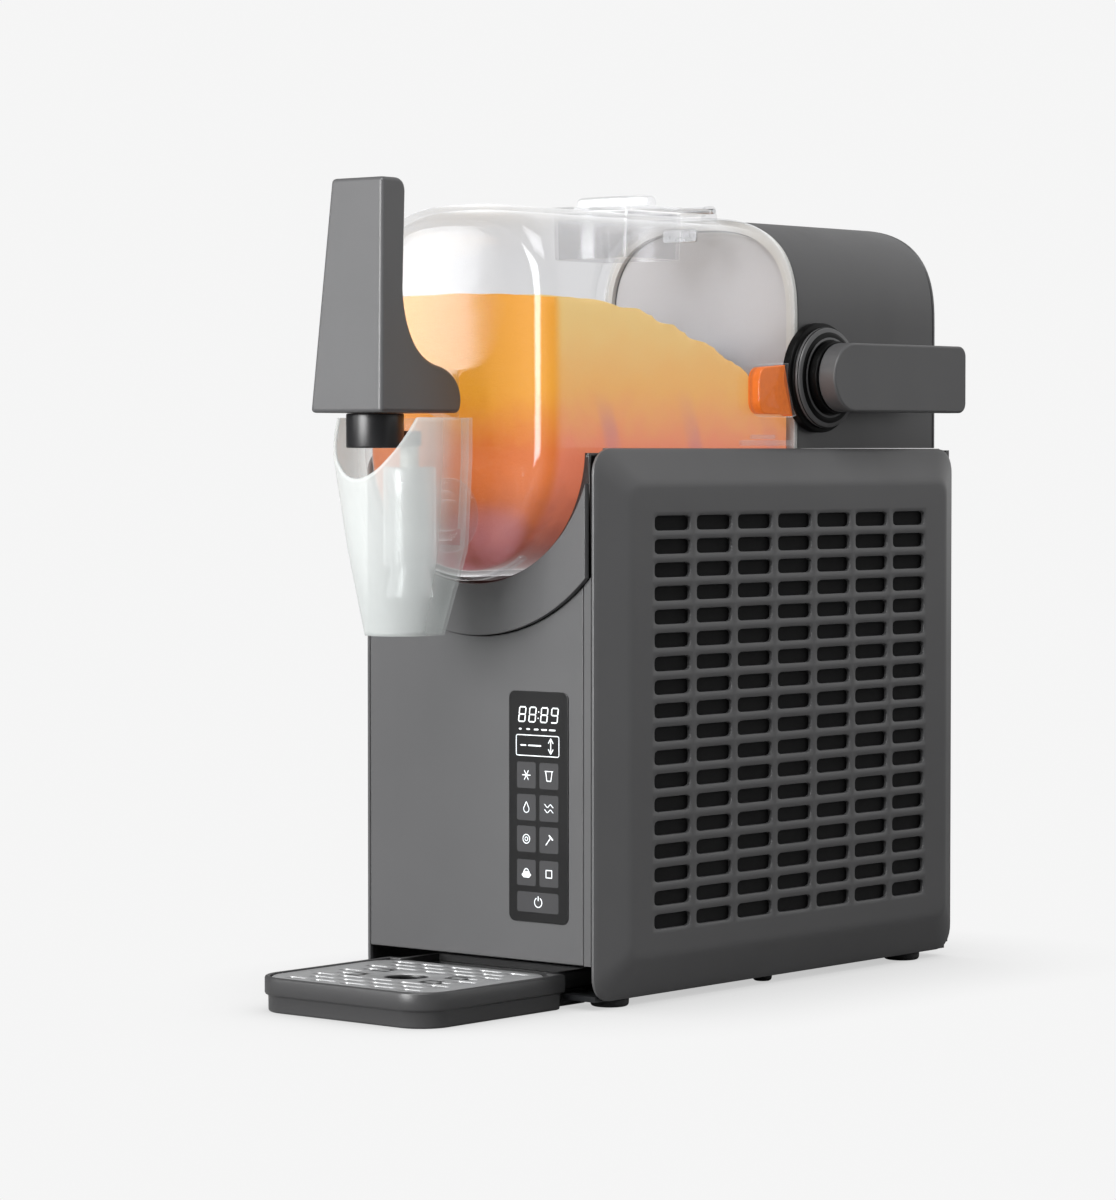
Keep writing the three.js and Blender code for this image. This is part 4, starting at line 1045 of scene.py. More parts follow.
def control_panel():
    """Glass, keys a hair above it, and printed marks a hair above the keys."""
    low, high = node_mm("control_glass")
    outline = rounded(low[0], high[0], low[2], high[2], 4, 8)
    glass = new_piece(
        "touch_glass", *prism(outline, 1, low[1], high[1]), "black_glass", "base",
        ["control_glass"],
    )
    bevel(glass, 0.35, 3)
    rows = [123.9, 106.6, 89.6, 71.5]
    columns = [34.9, 50.7]
    keys, centres = [], []
    for z in rows:
        for x in columns:
            centres.append((x, z))
            keys.append(prism(rounded(x - 6.6, x + 6.6, z - 7, z + 7, 1.2, 4), 1, -0.63, -0.55))
    keys.append(prism(rounded(28.4, 57.4, 50.4, 61.2, 1.4, 4), 1, -0.63, -0.55))
    new_piece("touch_keys", *merged(keys), "key_face", "base")
    marks = key_symbols(centres)
    power = (43.2, 55.8)
    marks += polyline_mark(circle_points(*power, 2.6, 120, 420, 14), 0.55)
    marks.append(bar_mark(power[0], power[1] + 1, power[0], power[1] + 3.2, 0.6))
    frame_line = rounded(27.8, 57.7, 134.4, 145.4, 1.0, 3)
    border = [tuple(point) for point in np.vstack([frame_line, frame_line[:1]])]
    marks += polyline_mark(border, 0.5)
    marks += [bar_mark(31, 139.9, 34.5, 139.9, 0.8), bar_mark(36.5, 139.9, 45, 139.9, 0.8)]
    marks += polyline_mark([(50.4, 141.6), (52, 144), (53.6, 141.6)], 0.6)
    marks += polyline_mark([(50.4, 138.2), (52, 135.8), (53.6, 138.2)], 0.6)
    marks.append(bar_mark(52, 137, 52, 142.8, 0.6))
    for i in range(5):
        x = 30.6 + i * 5.6
        reach = 0.6 + 0.35 * i
        marks.append(bar_mark(x - reach, 148.6, x + reach, 148.6, 0.9))
    for i, lit in enumerate(["abcdefg", "abcdefg", "abcdefg", "abcdfg"]):
        x = 29.4 + i * 7.2 + (1.0 if i > 1 else 0)
        marks += digit(x, 152.6, 4.4, 7.8, lit)
    marks += [bar_mark(43.2, 154.6, 43.2, 154.7, 0.9), bar_mark(43.6, 158, 43.6, 158.1, 0.9)]
    new_piece("display_marks", *merged(marks), "display_mark", "base")


# ---- vessel ------------------------------------------------------------------


def vessel_shell():
    """Outer and inner skins of the clear vessel, joined at the open rear rim."""
    centre = np.array([0.0, 330.0])

    def cap_loops(y, half, shares):
        section = vessel_section(half)
        return [spread(centre + share * (section - centre), 1, y) for share in shares]

    shares = (0.05, 0.45, 0.8, 0.97)
    outer = cap_loops(VESSEL_FRONT, FACE_HALF_WIDTH - 0.4, shares)
    outer += [spread(vessel_section(half), 1, y) for y, half in vessel_profile()]
    for y in (40, PORT[2], PORT[3], 160, 183.5):
        outer.append(spread(vessel_section(VESSEL_HALF), 1, y))
    band = VESSEL_HALF + 0.7
    outer.append(spread(vessel_section(band), 1, 184.2))
    outer.append(spread(vessel_section(band), 1, 190.7))
    outer.append(spread(vessel_section(VESSEL_HALF + 0.1), 1, VESSEL_REAR))
    inner_half = VESSEL_HALF - VESSEL_WALL
    outer.append(spread(vessel_section(inner_half), 1, VESSEL_REAR))
    inner = [spread(vessel_section(inner_half), 1, y) for y in (160, PORT[3], PORT[2], 40)]
    inner += [
        spread(vessel_section(half), 1, y) for y, half in vessel_profile(VESSEL_WALL)[::-1]
    ]
    inner += cap_loops(VESSEL_FRONT + VESSEL_WALL, FACE_HALF_WIDTH - 2, shares[::-1])
    points, faces = loft(outer + inner)
    points, faces = cut_port(points, faces)
    new_piece(
        "vessel_shell", points, faces, "clear_plastic", "vessel_set", ["vessel"], sharp=50
    )


PORT = (-27.0, 27.0, 97.0, 141.0)


def cut_port(points, faces):
    """Drops the faces of both skins that lie over the filling port."""
    points = np.asarray(points)
    kept = []
    for face in faces:
        centre = points[list(face)].mean(0)
        over = abs(centre[0]) < PORT[1] and PORT[2] < centre[1] < PORT[3] and centre[2] > 400
        if not over or len(face) > 4:
            kept.append(face)
    return points, kept


def vessel_fittings():
    """Funnel, lid lugs, handle lug, side boss, drip lip, latch bars: the vessel's clear details."""
    outside = rounded(PORT[0] - 2, PORT[1] + 2, PORT[2] - 2, PORT[3] + 2, 5, 6)
    inside = rounded(PORT[0], PORT[1], PORT[2], PORT[3], 3.4, 6)
    funnel = loft(
        [
            spread(outside, 2, 430.0), spread(outside * [0.97, 1], 2, 404.6),
            spread(inside * [0.97, 1], 2, 404.2), spread(inside, 2, 430.2),
            spread(outside, 2, 430.0),
        ],
        caps=(False, False),
    )
    new_piece("fill_funnel", *funnel, "clear_lid", "vessel_set")
    lugs = []
    for sign in (-1, 1):
        x = sign * 24
        shape = np.concatenate(
            [arc(LID_Y, LID_Z, 3.0, 0, 180, 16), [(LID_Y - 4.6, 427), (LID_Y + 4.6, 427)]]
        )
        lugs.append(prism(shape, 0, x - 3, x + 3))
    bevel(new_piece("lid_lugs", *merged(lugs), "clear_lid", "vessel_set"), 0.5, 2)
    lug_line = np.concatenate(
        [
            [(VESSEL_FRONT + 0.2, 314), (VESSEL_FRONT + 0.2, 341)],
            arc(HANDLE_Y, HANDLE_Z, 7, 90, 270, 24),
        ]
    )
    bevel(new_piece("handle_lug", *prism(lug_line, 0, -6, 6), "clear_plastic", "vessel_set"), 0.8)
    lip_line = np.concatenate(
        [arc(0, AXIS_Z, 72, 236, 304, 40), arc(0, AXIS_Z, 69.6, 304, 236, 40)]
    )
    lip = new_piece("drip_lip", *prism(lip_line, 1, -11, -6), "clear_lid", "vessel_set")
    bevel(lip, 0.5, 2)
    side_boss()
    catch = [
        prism(rounded(140, 188, 300.5, 303.5, 1.2, 3), 0, 70.1, 72.0),
        prism(rounded(150, 172, 304.2, 306.6, 1.0, 3), 0, 70.1, 71.4),
    ]
    bevel(new_piece("vessel_catch", *merged(catch), "clear_lid", "vessel_set"), 0.3, 2)


def side_boss():
    """A lug on the vessel's right wall that the lever's collar overlaps, packed with slush."""

    def outline(inset):
        line = rounded(151 + inset, 190, 316.5 + inset, 346 - inset, 9 - inset, 10)
        away = line - [LEVER_Y, LEVER_Z]
        distance = np.linalg.norm(away, axis=1, keepdims=True)
        keep_out = 32.2 + inset
        return [LEVER_Y, LEVER_Z] + away * np.maximum(keep_out / distance, 1.0)

    loops = [
        spread(outline(0), 0, 69.2), spread(outline(0), 0, 75.2), spread(outline(0.3), 0, 75.8),
        spread(outline(0.9), 0, 76.0),
    ]
    new_piece("lock_boss", *loft(loops), "clear_plastic", "vessel_set")
    filled = [spread(outline(inset), 0, x) for inset, x in ((1.6, 66.9), (1.6, 74.0), (2.2, 74.6))]
    new_piece("slush_in_boss", *loft(filled), "slush_core", "vessel_set")


def slush_height(x, y, level):
    """The free surface: level in front, sinking to the rear, domed across, softly lumpy."""
    far = np.clip((y - 10) / 180, 0, 1)
    fall = 12 * far + 46 * far**2.2
    dome = -0.0011 * x**2 * (0.6 + 0.4 * far)
    lumps = 0.9 * np.sin(y * 0.21 + 0.03 * x) + 0.7 * np.sin(x * 0.19 - y * 0.08)
    return level - fall + dome + lumps * (0.3 + 0.7 * np.clip(y / 40, 0, 1))


def wall_distance(angle, half):
    """How far the vessel's inner wall lies from the drum's axis at an angle from straight up."""
    s, c = np.sin(angle), np.cos(angle)
    radius = np.linspace(half * 0.5, 140, 600)
    x = radius * s[:, None]
    z = AXIS_Z + radius * c[:, None]
    rise = CROWN - (VESSEL_HALF - half)
    over = np.clip((z - SHOULDER_Z) / rise, 0, None)
    in_crown = (np.abs(x) / half) ** CROWN_POWER + over**CROWN_POWER < 1
    in_bottom = np.hypot(x, z - AXIS_Z) < half
    inside = np.where(z > SHOULDER_Z, in_crown, np.where(z < AXIS_Z, in_bottom, np.abs(x) < half))
    return radius[np.argmin(inside, axis=1)]


def slush():
    """The frozen drink: from the auger's sweep out to the vessel's wall or its free surface.

    At each angle about the drum's axis the outer radius is the smaller of the wall's distance
    and the surface's distance, and never less than the auger's sweep. The tunnel that the auger
    sweeps starts behind the front; where wall and tunnel meet there is no slush and no face."""
    level = sizes().slush_level / MM
    columns = 192
    angle = np.linspace(0, 2 * np.pi, columns, endpoint=False)
    profile = vessel_profile(VESSEL_WALL + 0.35)
    stations = [tuple(pair) for pair in profile]
    stations += [(y, profile[-1][1]) for y in np.linspace(-4, 188, 74)]
    behind = np.array([y for y, _ in stations]) > -8
    radii = np.array([slush_reach(angle, y, half, level) for y, half in stations])
    radii[behind] = np.maximum(radii[behind], AUGER_SWEEP)
    thick = (radii > AUGER_SWEEP + 1e-3) | ~behind[:, None]
    y = np.array([pair[0] for pair in stations])[:, None]

    def skin(radius, y):
        x, z = radius * np.sin(angle), AXIS_Z + radius * np.cos(angle)
        return np.stack([x, np.broadcast_to(y, x.shape), z], -1).reshape(-1, 3)

    rows = len(stations)
    first = int(np.argmax(behind))
    either = thick | np.roll(thick, -1, axis=1)
    cells = either[:-1] | either[1:]
    tunnel = np.full((rows - first, columns), AUGER_SWEEP)
    points = np.concatenate([skin(radii, y), skin(tunnel, y[first:])])
    outer = grid_faces(rows, columns)[cells.ravel()]
    inner = grid_faces(rows - first, columns)[cells[first:].ravel()] + rows * columns
    rear_outer = (rows - 1) * columns + np.arange(columns)
    rear_inner = len(points) - columns + np.arange(columns)
    rear = np.stack(
        [rear_outer, np.roll(rear_outer, -1), np.roll(rear_inner, -1), rear_inner], -1
    )[either[-1]]
    faces = [tuple(face) for face in np.concatenate([outer, inner, rear])]
    faces.append(tuple(range(columns)))
    faces.append(tuple(rows * columns + np.arange(columns)))
    new_piece("slush_fill", points, faces, "slush", "vessel_set", sharp=60)


def slush_reach(angle, y, half, level):
    """The slush's outer radius at each angle, at one station along the vessel."""
    wall = wall_distance(angle, half)
    up = np.cos(angle)
    reach = wall
    for _ in range(4):
        top = slush_height(reach * np.sin(angle), y, level)
        surface = np.where(up > 1e-3, (top - AXIS_Z) / np.maximum(up, 1e-3), np.inf)
        reach = np.minimum(wall, surface)
    return reach


def drum_and_auger():
    """The drum turned about the axis; a helix r(t), angle 5 pi t, y rising with t; bars."""
    low, high = node_mm("evaporator_drum")
    radius = (high[0] - low[0]) / 2
    profile = [
        (6.2, low[1]), (radius - 8, low[1]), (radius - 2, low[1] + 2.5), (radius, low[1] + 8),
        (radius, high[1]), (radius - 3, high[1]), (radius - 3, low[1] + 10), (6.2, low[1] + 10),
    ]
    drum = turned(softened(profile, 1.2), 1, (0, AXIS_Z), 96)
    new_piece("drum_skin", *drum, "drum_steel", "base", ["evaporator_drum"])
    inner, outer, turns = 46.0, 65.3, 2.5
    along = np.linspace(0, 1, 241)[:, None]
    angle = along * turns * 2 * np.pi
    rise = [inner, inner + 1, outer - 1.2, outer - 0.2]
    radii = np.array(rise + rise[::-1])
    offset = np.array([1.0, 0, 0, 1.2, 4.8, 6, 6, 5.0])
    y = 5 + along * 177 + offset
    x = radii * np.sin(angle)
    z = AXIS_Z + radii * np.cos(angle)
    blade = np.stack([x, np.broadcast_to(y, x.shape), z], -1)
    hub = turned(softened([(6.4, 1), (14, 1), (14, 11), (6.4, 11)], 1.2), 1, (0, AXIS_Z), 48)
    rim = ring_body(56, outer, 2, 10)
    bars = []
    for i in range(3):
        turn = i * 2 * math.pi / 3
        spoke = prism(rounded(-6, 6, 8, 58, 2, 4), 1, 2.4, 9.6)
        bars.append((about_axis(spoke[0], turn), spoke[1]))
        bar = prism(rounded(-3, 3, inner, 53, 1, 3), 1, 6, 188)
        bars.append((about_axis(bar[0], turn + 0.4), bar[1]))
    parts = [loft(list(blade)), hub, rim, *bars]
    new_piece("auger_spiral", *merged(parts), "dark_plastic", "auger_set", ["auger"], sharp=40)


def ring_body(inner, outer, y0, y1):
    profile = [(inner, y0 + 1), (inner + 1, y0), (outer - 1, y0), (outer, y0 + 1),
               (outer, y1 - 1), (outer - 1, y1), (inner + 1, y1), (inner, y1 - 1), (inner, y0 + 1)]
    points, faces = turned(profile, 1, (0, AXIS_Z), 96)
    return points, faces[:-2]


def about_axis(points, turn):
    """Points drawn in X and Z from the axis, turned about the drum's axis."""
    points = np.asarray(points, float)
    c, s = math.cos(turn), math.sin(turn)
    x, z = points[:, 0], points[:, 2]
    return np.stack([c * x + s * z, points[:, 1], AXIS_Z - s * x + c * z], -1)


def gasket():
    """Closed rings of the vessel section, swept round a small rounded rectangle."""
    loops = []
    for half, y in ((64, 0.3), (64, 3.4), (66, 3.55), (69, 3.5), (69.7, 3.2), (69.9, 1.9),
                    (69.6, 0.5), (68.5, 0.3), (64, 0.3)):
        loops.append(spread(vessel_section(half), 1, VESSEL_REAR + y))
    new_piece(
        "gasket_ring", *loft(loops, caps=(False, False)), "white_seal", "base", ["vessel_gasket"],
        slot="rubber",
    )


# ---- spout, handle, lid ------------------------------------------------------


def spout():
    """Tube, neck, stem and spool: profiles turned about upright and lengthwise axes."""
    top, bore = 289, 11.3
    tube = [
        (8, 236), (11, 220.6), (11.3, 220), (12.1, 220), (12.5, 220.6), (9.6, 236.4), (13, 236.8),
        (14, 237.8), (14, top - 1), (13.4, top), (bore + 0.5, top), (bore, top - 0.6),
        (bore, 240.6), (10.6, 240), (8, 240), (8, 236),
    ]
    points, faces = turned(tube, 2, (0, SPOUT_Y), 64)
    front = SPOUT_Y + 12.6
    neck = [
        (8.5, front), (13.5, front), (13.5, VESSEL_FRONT - 4.4), (15, VESSEL_FRONT - 3.3),
        (19.4, VESSEL_FRONT - 3.3), (20, VESSEL_FRONT - 2.7), (20, VESSEL_FRONT - 0.6),
        (19.6, VESSEL_FRONT - 0.3), (8.5, VESSEL_FRONT - 0.3), (8.5, front),
    ]
    neck_points, neck_faces = turned(neck, 1, (0, OUTLET_Z), 48)
    new_piece(
        "spout_tube", points, faces[:-2], "milky_plastic", "vessel_set", ["spout_body"], sharp=40
    )
    new_piece("spout_neck", neck_points, neck_faces[:-2], "clear_plastic", "vessel_set", sharp=40)
    stem = softened([(0.01, 299), (15.2, 299), (15.2, 317.1), (0.01, 317.1)], 0.9)
    arm = prism(rounded(-5, 5, STEM_Y, SPOUT_Y + 5, 2, 4), 2, 300, 308)
    parts = merged([turned(stem, 2, (0, STEM_Y), 72), arm])
    new_piece("plunger_stem", *parts, "black_plastic", "plunger", ["spout_plunger"])
    spool = [
        (0.01, 250), (10.2, 250), (11, 250.8), (11, 256), (10.4, 256.8), (10.4, 258.2),
        (11, 259), (11, 272.2), (10.2, 273), (5, 273.6), (5, 300.5), (0.01, 300.5),
    ]
    new_piece(
        "plunger_spool", *turned(spool, 2, (0, SPOUT_Y), 64), "white_nylon", "plunger",
        slot="black_plastic",
    )
    tip = softened([(0.01, 241), (3.6, 241), (3.6, 250.2), (0.01, 250.2)], 0.8)
    new_piece("plunger_tip", *turned(tip, 2, (0, SPOUT_Y - 7), 32), "black_plastic", "plunger")


SHROUD_LEVELS = (
    (200, 19, -81.3, -41, 12),
    (246, 28, -90.4, -31, 14),
    (294, 31, -99.6, -31, 14),
    (315, 31, -99.6, -31, 14),
)


def shroud_outline(z, front_steps=48, corner_steps=8, side_steps=6, back_steps=14):
    """The sleeve's outline at a height: half round in front, with two round rear corners."""
    heights = [level[0] for level in SHROUD_LEVELS]
    half, front, rear, corner = (
        np.interp(z, heights, [level[i] for level in SHROUD_LEVELS]) for i in range(1, 5)
    )
    middle = front + half
    turn = rear - corner

    def line(start, end, steps):
        return np.linspace(start, end, steps + 1)[1:-1]

    return np.concatenate(
        [
            arc(0, middle, half, 180, 360, front_steps),
            line((half, middle), (half, turn), side_steps),
            arc(half - corner, turn, corner, 0, 90, corner_steps),
            line((half - corner, rear), (corner - half, rear), back_steps),
            arc(corner - half, turn, corner, 90, 180, corner_steps),
            line((-half, turn), (-half, middle), side_steps),
        ]
    )


def rim_height(y):
    """The rim: level at the back, sloping straight down to the lip in front."""
    return np.minimum(315.0, 282.8 + 1.674 * (y + 99.6))


def shroud():
    """Outline at height z, where z runs from the foot to the slanted rim at each column."""
    rows = 40
    base = shroud_outline(SLEEVE_HIGH)
    share = np.linspace(0, 1, rows)[:, None]
    heights = SLEEVE_LOW + (rim_height(base[:, 1]) - SLEEVE_LOW) * share
    levels = np.linspace(SLEEVE_LOW, SLEEVE_HIGH, 116)
    table = np.stack([shroud_outline(z) for z in levels])
    place = (heights - SLEEVE_LOW) / (levels[1] - levels[0])
    below = np.clip(place.astype(int), 0, len(levels) - 2)
    column = np.arange(len(base))
    part = (place - below)[..., None]
    flat = table[below, column] * (1 - part) + table[below + 1, column] * part
    points = np.concatenate([flat, heights[..., None]], -1).reshape(-1, 3)
    faces = grid_faces(rows, len(base))
    centre = points[faces].mean(1)
    at_back = (centre[:, 1] > -45) & (centre[:, 2] > 247)
    in_slot = (np.abs(centre[:, 0]) < SLEEVE_SLOT_HALF) & at_back
    kept = faces[~in_slot]
    piece = new_piece(
        "frosted_sleeve", points, kept, "frosted_plastic", "shroud", ["splash_shroud"], sharp=50
    )
    wall = piece.modifiers.new("wall", "SOLIDIFY")
    wall.thickness = 1.9 * MM
    wall.offset = -1


def handle_profile():
    """The handle's side outline: a straight front, a hollow back and a heel at the pivot."""
    bottom = 317.4

    def curve(a, b, c, steps=12):
        t = np.linspace(0, 1, steps + 1)[:, None]
        return (1 - t) ** 2 * np.array(a) + 2 * t * (1 - t) * np.array(b) + t**2 * np.array(c)

    return np.concatenate(
        [
            [(-105.0, bottom)],
            curve((-46, bottom), (-41, bottom), (-41, 326)),
            curve((-41, 326), (-42, 338), (-56, 342))[1:],
            curve((-56, 342), (-82, 346), (-83, 381), 20)[1:],
            curve((-78, 433), (-78, 440), (-85, 440)),
            [(-96.0, 440.0)],
        ]
    )


def handle():
    """The side outline at half width 25.3, narrowing in a straight line to 18.3 on top."""
    low, high = node_mm("dispense_handle")
    profile = handle_profile()

    def side(sign):
        up = (profile[:, 1] - low[2]) / (high[2] - low[2])
        half = 25.3 + up * (18.3 - 25.3)
        return np.stack([sign * half, profile[:, 0], profile[:, 1]], -1)

    rings = [side(-1), side(1)]
    piece = new_piece(
        "handle_grip", *loft(rings), "grey_shell", "handle", ["dispense_handle"], sharp=30
    )
    bevel(piece, 2.2, 4, 40)


def lock_lever():
    """A round-ended arm, its hub, the collar disc with a washer, and the left cap."""
    half, reach = 19.4, 110.0
    outline = np.concatenate(
        [
            arc(LEVER_Y, LEVER_Z, half, 90, 270, 40),
            arc(LEVER_Y + reach - 6, LEVER_Z - half + 6, 6, 270, 360, 8),
            arc(LEVER_Y + reach - 6, LEVER_Z + half - 6, 6, 0, 90, 8),
        ]
    )
    _, high = node_mm("lock_lever")
    arm = new_piece(
        "lever_arm", *prism(outline, 0, high[0] - 12, high[0]), "grey_shell", "lever",
        ["lock_lever"],
    )
    bevel(arm, 1.4, 4)
    hub = softened([(4.4, 81.8), (20.5, 81.8), (20.5, high[0] - 12.1), (4.4, high[0] - 12.1)], 0.8)
    new_piece("lever_hub", *turned(hub, 0, (LEVER_Y, LEVER_Z), 72), "hub_black", "lever")
    collar = softened(
        [
            (4.2, 70.4), (31, 70.4), (31, 75.9), (28.5, 76.1), (28.5, 79.6), (24.5, 81.3),
            (4.2, 81.3),
        ],
        0.7,
    )
    shape = turned(collar, 0, (LEVER_Y, LEVER_Z), 96)
    new_piece("collar_disc", *shape, "hub_black", "base", ["lever_collar"])
    washer = softened([(21.5, 81.25), (27.8, 80.2), (28.6, 78.6), (28.4, 77.0)], 0.3)
    outer = [(r, x + 0.25) for r, x in washer]
    points, faces = turned(list(washer) + outer[::-1] + [washer[0]], 0, (LEVER_Y, LEVER_Z), 96)
    new_piece("collar_washer", points, faces[:-2], "grey_shell", "base")
    cap_low, cap_high = node_mm("lever_shaft_cap")
    cap = softened(
        [
            (0.01, cap_low[0]), (10.5, cap_low[0]), (12, cap_low[0] + 1.5), (12, cap_high[0]),
            (0.01, cap_high[0]),
        ],
        0.8,
    )
    new_piece("left_cap", *turned(cap, 0, (LEVER_Y, LEVER_Z), 56), "black_plastic", "lever",
              ["lever_shaft_cap"])


def lid():
    """A softened plate with a plug, a hinge knuckle and an upright grip."""
    _, high = node_mm("vessel_lid")
    plate_line = rounded(-34, 34, LID_Y - 82, LID_Y - 6, 8, 8)
    plate = loft(
        [
            spread(plate_line * [0.985, 1], 2, LID_Z - 2.4), spread(plate_line, 2, LID_Z - 2.0),
            spread(plate_line, 2, LID_Z - 0.4), spread(plate_line * [0.985, 1], 2, LID_Z + 0.2),
        ]
    )
    plug = prism(rounded(-25.5, 25.5, LID_Y - 73, LID_Y - 33, 3, 5), 2, LID_Z - 6, LID_Z - 2.5)
    knuckle = turned(softened([(1.9, -20.4), (2.7, -20.4), (2.7, 20.4), (1.9, 20.4)], 0.3), 0,
                     (LID_Y, LID_Z), 32)
    new_piece("lid_plate", *merged([plate, plug, knuckle]), "clear_lid", "lid", ["vessel_lid"],
              sharp=40)
    grip_line = np.concatenate(
        [
            [(-26, LID_Z + 0.1), (26, LID_Z + 0.1)],
            arc(22, high[2] - 4, 4, 0, 90, 8), arc(-22, high[2] - 4, 4, 90, 180, 8),
        ]
    )
    grip = new_piece("lid_grip", *prism(grip_line, 1, LID_Y - 58, LID_Y - 50), "clear_lid", "lid")
    bevel(grip, 1.2, 3)
    clip = prism(rounded(-12, 12, 416.5, 424, 1.5, 4), 1, LID_Y + 3, LID_Y + 5)
    bevel(new_piece("lid_latch_spring", *clip, "steel", "vessel_set", slot="steel"), 0.4, 2)


# ---- trays -------------------------------------------------------------------


def tray_outline(inset):
    """Wide front with round corners and a narrower tongue that runs under the front panel."""
    front = TRAY_LOW[1] + inset
    half = TRAY_HIGH[0] - inset
    tongue = 55 - inset
    corner = 20 - inset
    shoulder = -2 - inset
    rear = TRAY_HIGH[1] - inset
    left = np.array([(-tongue, rear), (-tongue, shoulder), (-half, shoulder)], float)
    fronts = [
        arc(-half + corner, front + corner, corner, 180, 270, 14),
        arc(half - corner, front + corner, corner, 270, 360, 14),
    ]
    right = left[::-1] * [-1, 1]
    return np.concatenate([left, *fronts, right])


def drip_tray():
    """The tray outline inset and lifted step by step along a rounded wall section."""
    path = [
        (3.0, 0.0), (2.2, 0.5), (2.0, 1.2), (1.9, 8.2), (1.4, 8.9), (0.4, 9.4), (0, 10.2),
        (0, 17.9), (0.35, 18.7), (1.0, 19.0), (2.0, 19.0), (2.5, 18.7), (2.6, 18.2), (2.6, 14.8),
        (4.4, 14.6), (4.5, 14.0), (4.5, 4.2), (5.2, 3.2), (6.4, 3.0),
    ]
    loops = [spread(tray_outline(inset), 2, z) for inset, z in path]
    new_piece(
        "tray_basin", *loft(loops), "tray_plastic", "drip_tray", ["drip_tray"], sharp=50
    )


GRILLE_ROWS = 9
GRILLE_PITCH = (21.0, 10.6)
GRIP_HOLE_Y = -58.0


def drip_grille():
    """Staggered slots row by row; odd rows start half a pitch to the right."""
    low, high = node_mm("drip_grille")
    top, thick = high[2], 2.2
    half = 50.0
    strips = []
    for row in range(GRILLE_ROWS):
        y = -100 + row * GRILLE_PITCH[1]
        shift = GRILLE_PITCH[0] / 2 if row % 2 else 0.0
        edges = np.arange(-3, 4) * GRILLE_PITCH[0] - GRILLE_PITCH[0] / 2 + shift
        edges = np.unique(np.clip(edges, -half, half))
        for a, b in zip(edges, edges[1:]):
            x = (a + b) / 2
            reach = (b - a) / 2
            beside = abs(y - GRIP_HOLE_Y) < 13 and abs(x) < 12 + reach
            if reach < 4.5 or beside:
                strips.append(flat_cell(a, b, y, top, beside))
                continue
            cell, quads = pierced_cells(
                [(x, y)], (reach, GRILLE_PITCH[1] / 2), (reach - 2.2, 2.7), 2.4, thick, 0.35
            )
            strips.append((cell + [0, 0, top], quads))
    strips = [strip for strip in strips if strip is not None]
    y0, y1 = -100 - GRILLE_PITCH[1] / 2, -100 + (GRILLE_ROWS - 0.5) * GRILLE_PITCH[1]
    field = cell_loop(half, (y1 - y0) / 2, 0, 24, 24) + [0, (y0 + y1) / 2]
    flat = mapped_loop(field, low[0] + 0.6, high[0] - 0.6, low[1] + 0.6, high[1] - 0.6, 17)
    border = [
        (field, top), (flat, top),
        (mapped_loop(field, low[0], high[0], low[1], high[1], 17.4), top - 0.5),
        (mapped_loop(field, low[0], high[0], low[1], high[1], 17.4), low[2]),
    ]
    skin = loft([spread(loop, 2, z) for loop, z in border], caps=(False, False))
    hole = grip_hole(top, thick)
    new_piece(
        "grille_plate", *merged([*strips, skin, hole]), "grille_metal", "grille", ["drip_grille"],
        sharp=40,
    )


def flat_cell(a, b, y, top, beside):
    """A plain cell; the block round the finger hole is left to grip_hole."""
    if beside:
        return None
    y0, y1 = y - GRILLE_PITCH[1] / 2, y + GRILLE_PITCH[1] / 2
    corners = [(a, y0, top), (b, y0, top), (b, y1, top), (a, y1, top)]
    return np.array(corners), [(0, 1, 2, 3)]


def grip_hole(top, thick):
    """A round finger hole in a plain block, with a rolled edge."""
    count = 64
    half_y = GRILLE_PITCH[1] * 1.5
    centre_y = -100 + 4 * GRILLE_PITCH[1]
    outer = cell_loop(31.5, half_y, 0, 16, 16) + [0, centre_y]
    angle = np.linspace(0, 2 * np.pi, count, endpoint=False) - 3 * np.pi / 4
    loops = [spread(outer, 2, top)]
    for radius, z in ((13.2, top), (12.4, top - 0.3), (12, top - 0.9), (12, top - thick)):
        circle = np.stack([radius * np.cos(angle), GRIP_HOLE_Y + radius * np.sin(angle)], -1)
        loops.append(spread(circle, 2, z))
    return loft(loops, caps=(False, False))


# ---- kept pieces -------------------------------------------------------------

KEPT = {
    "base_plate": "dark_steel", "rear_panel": "grey_shell", "cord_gland": "rubber",
    "dust_filter_left": "foam", "dust_filter_right": "foam", "control_board": "circuit_board",
    "cover_screw_1": "steel", "cover_screw_2": "steel", "compressor": "dark_steel",
    "condenser": "aluminium", "fan_shroud": "black_plastic", "fan_motor": "dark_steel",
    "fan_blades": "black_plastic", "filter_drier": "copper", "discharge_pipe": "copper",
    "suction_pipe": "copper", "power_board": "circuit_board", "gearbox_housing": "aluminium",
    "gearbox_cover": "aluminium", "drive_motor": "dark_steel", "shaft_seal": "white_seal",
    "drive_shaft": "steel", "auger_nut": "black_plastic", "drive_gear": "white_nylon",
    "motor_pinion": "steel", "lever_shaft": "steel", "lock_cam_left": "steel",
    "lock_cam_right": "steel", "lid_hinge_pin": "steel", "handle_pin": "steel",
    "handle_spring": "steel",
}


def kept_nodes():
    """CAD pieces that stay as they are get their finish."""
    for name, finish in KEPT.items():
        mesh = frame["nodes"][name].data
        mesh.materials.clear()
        mesh.materials.append(finish_of(finish))


# ---- stage -------------------------------------------------------------------

CAMERA_PLACE = (1479.9, -1695.1, 295.9)
CAMERA_TURN = 40.02
CAMERA_DROP = 2.01
CAMERA_LENS = 124.88


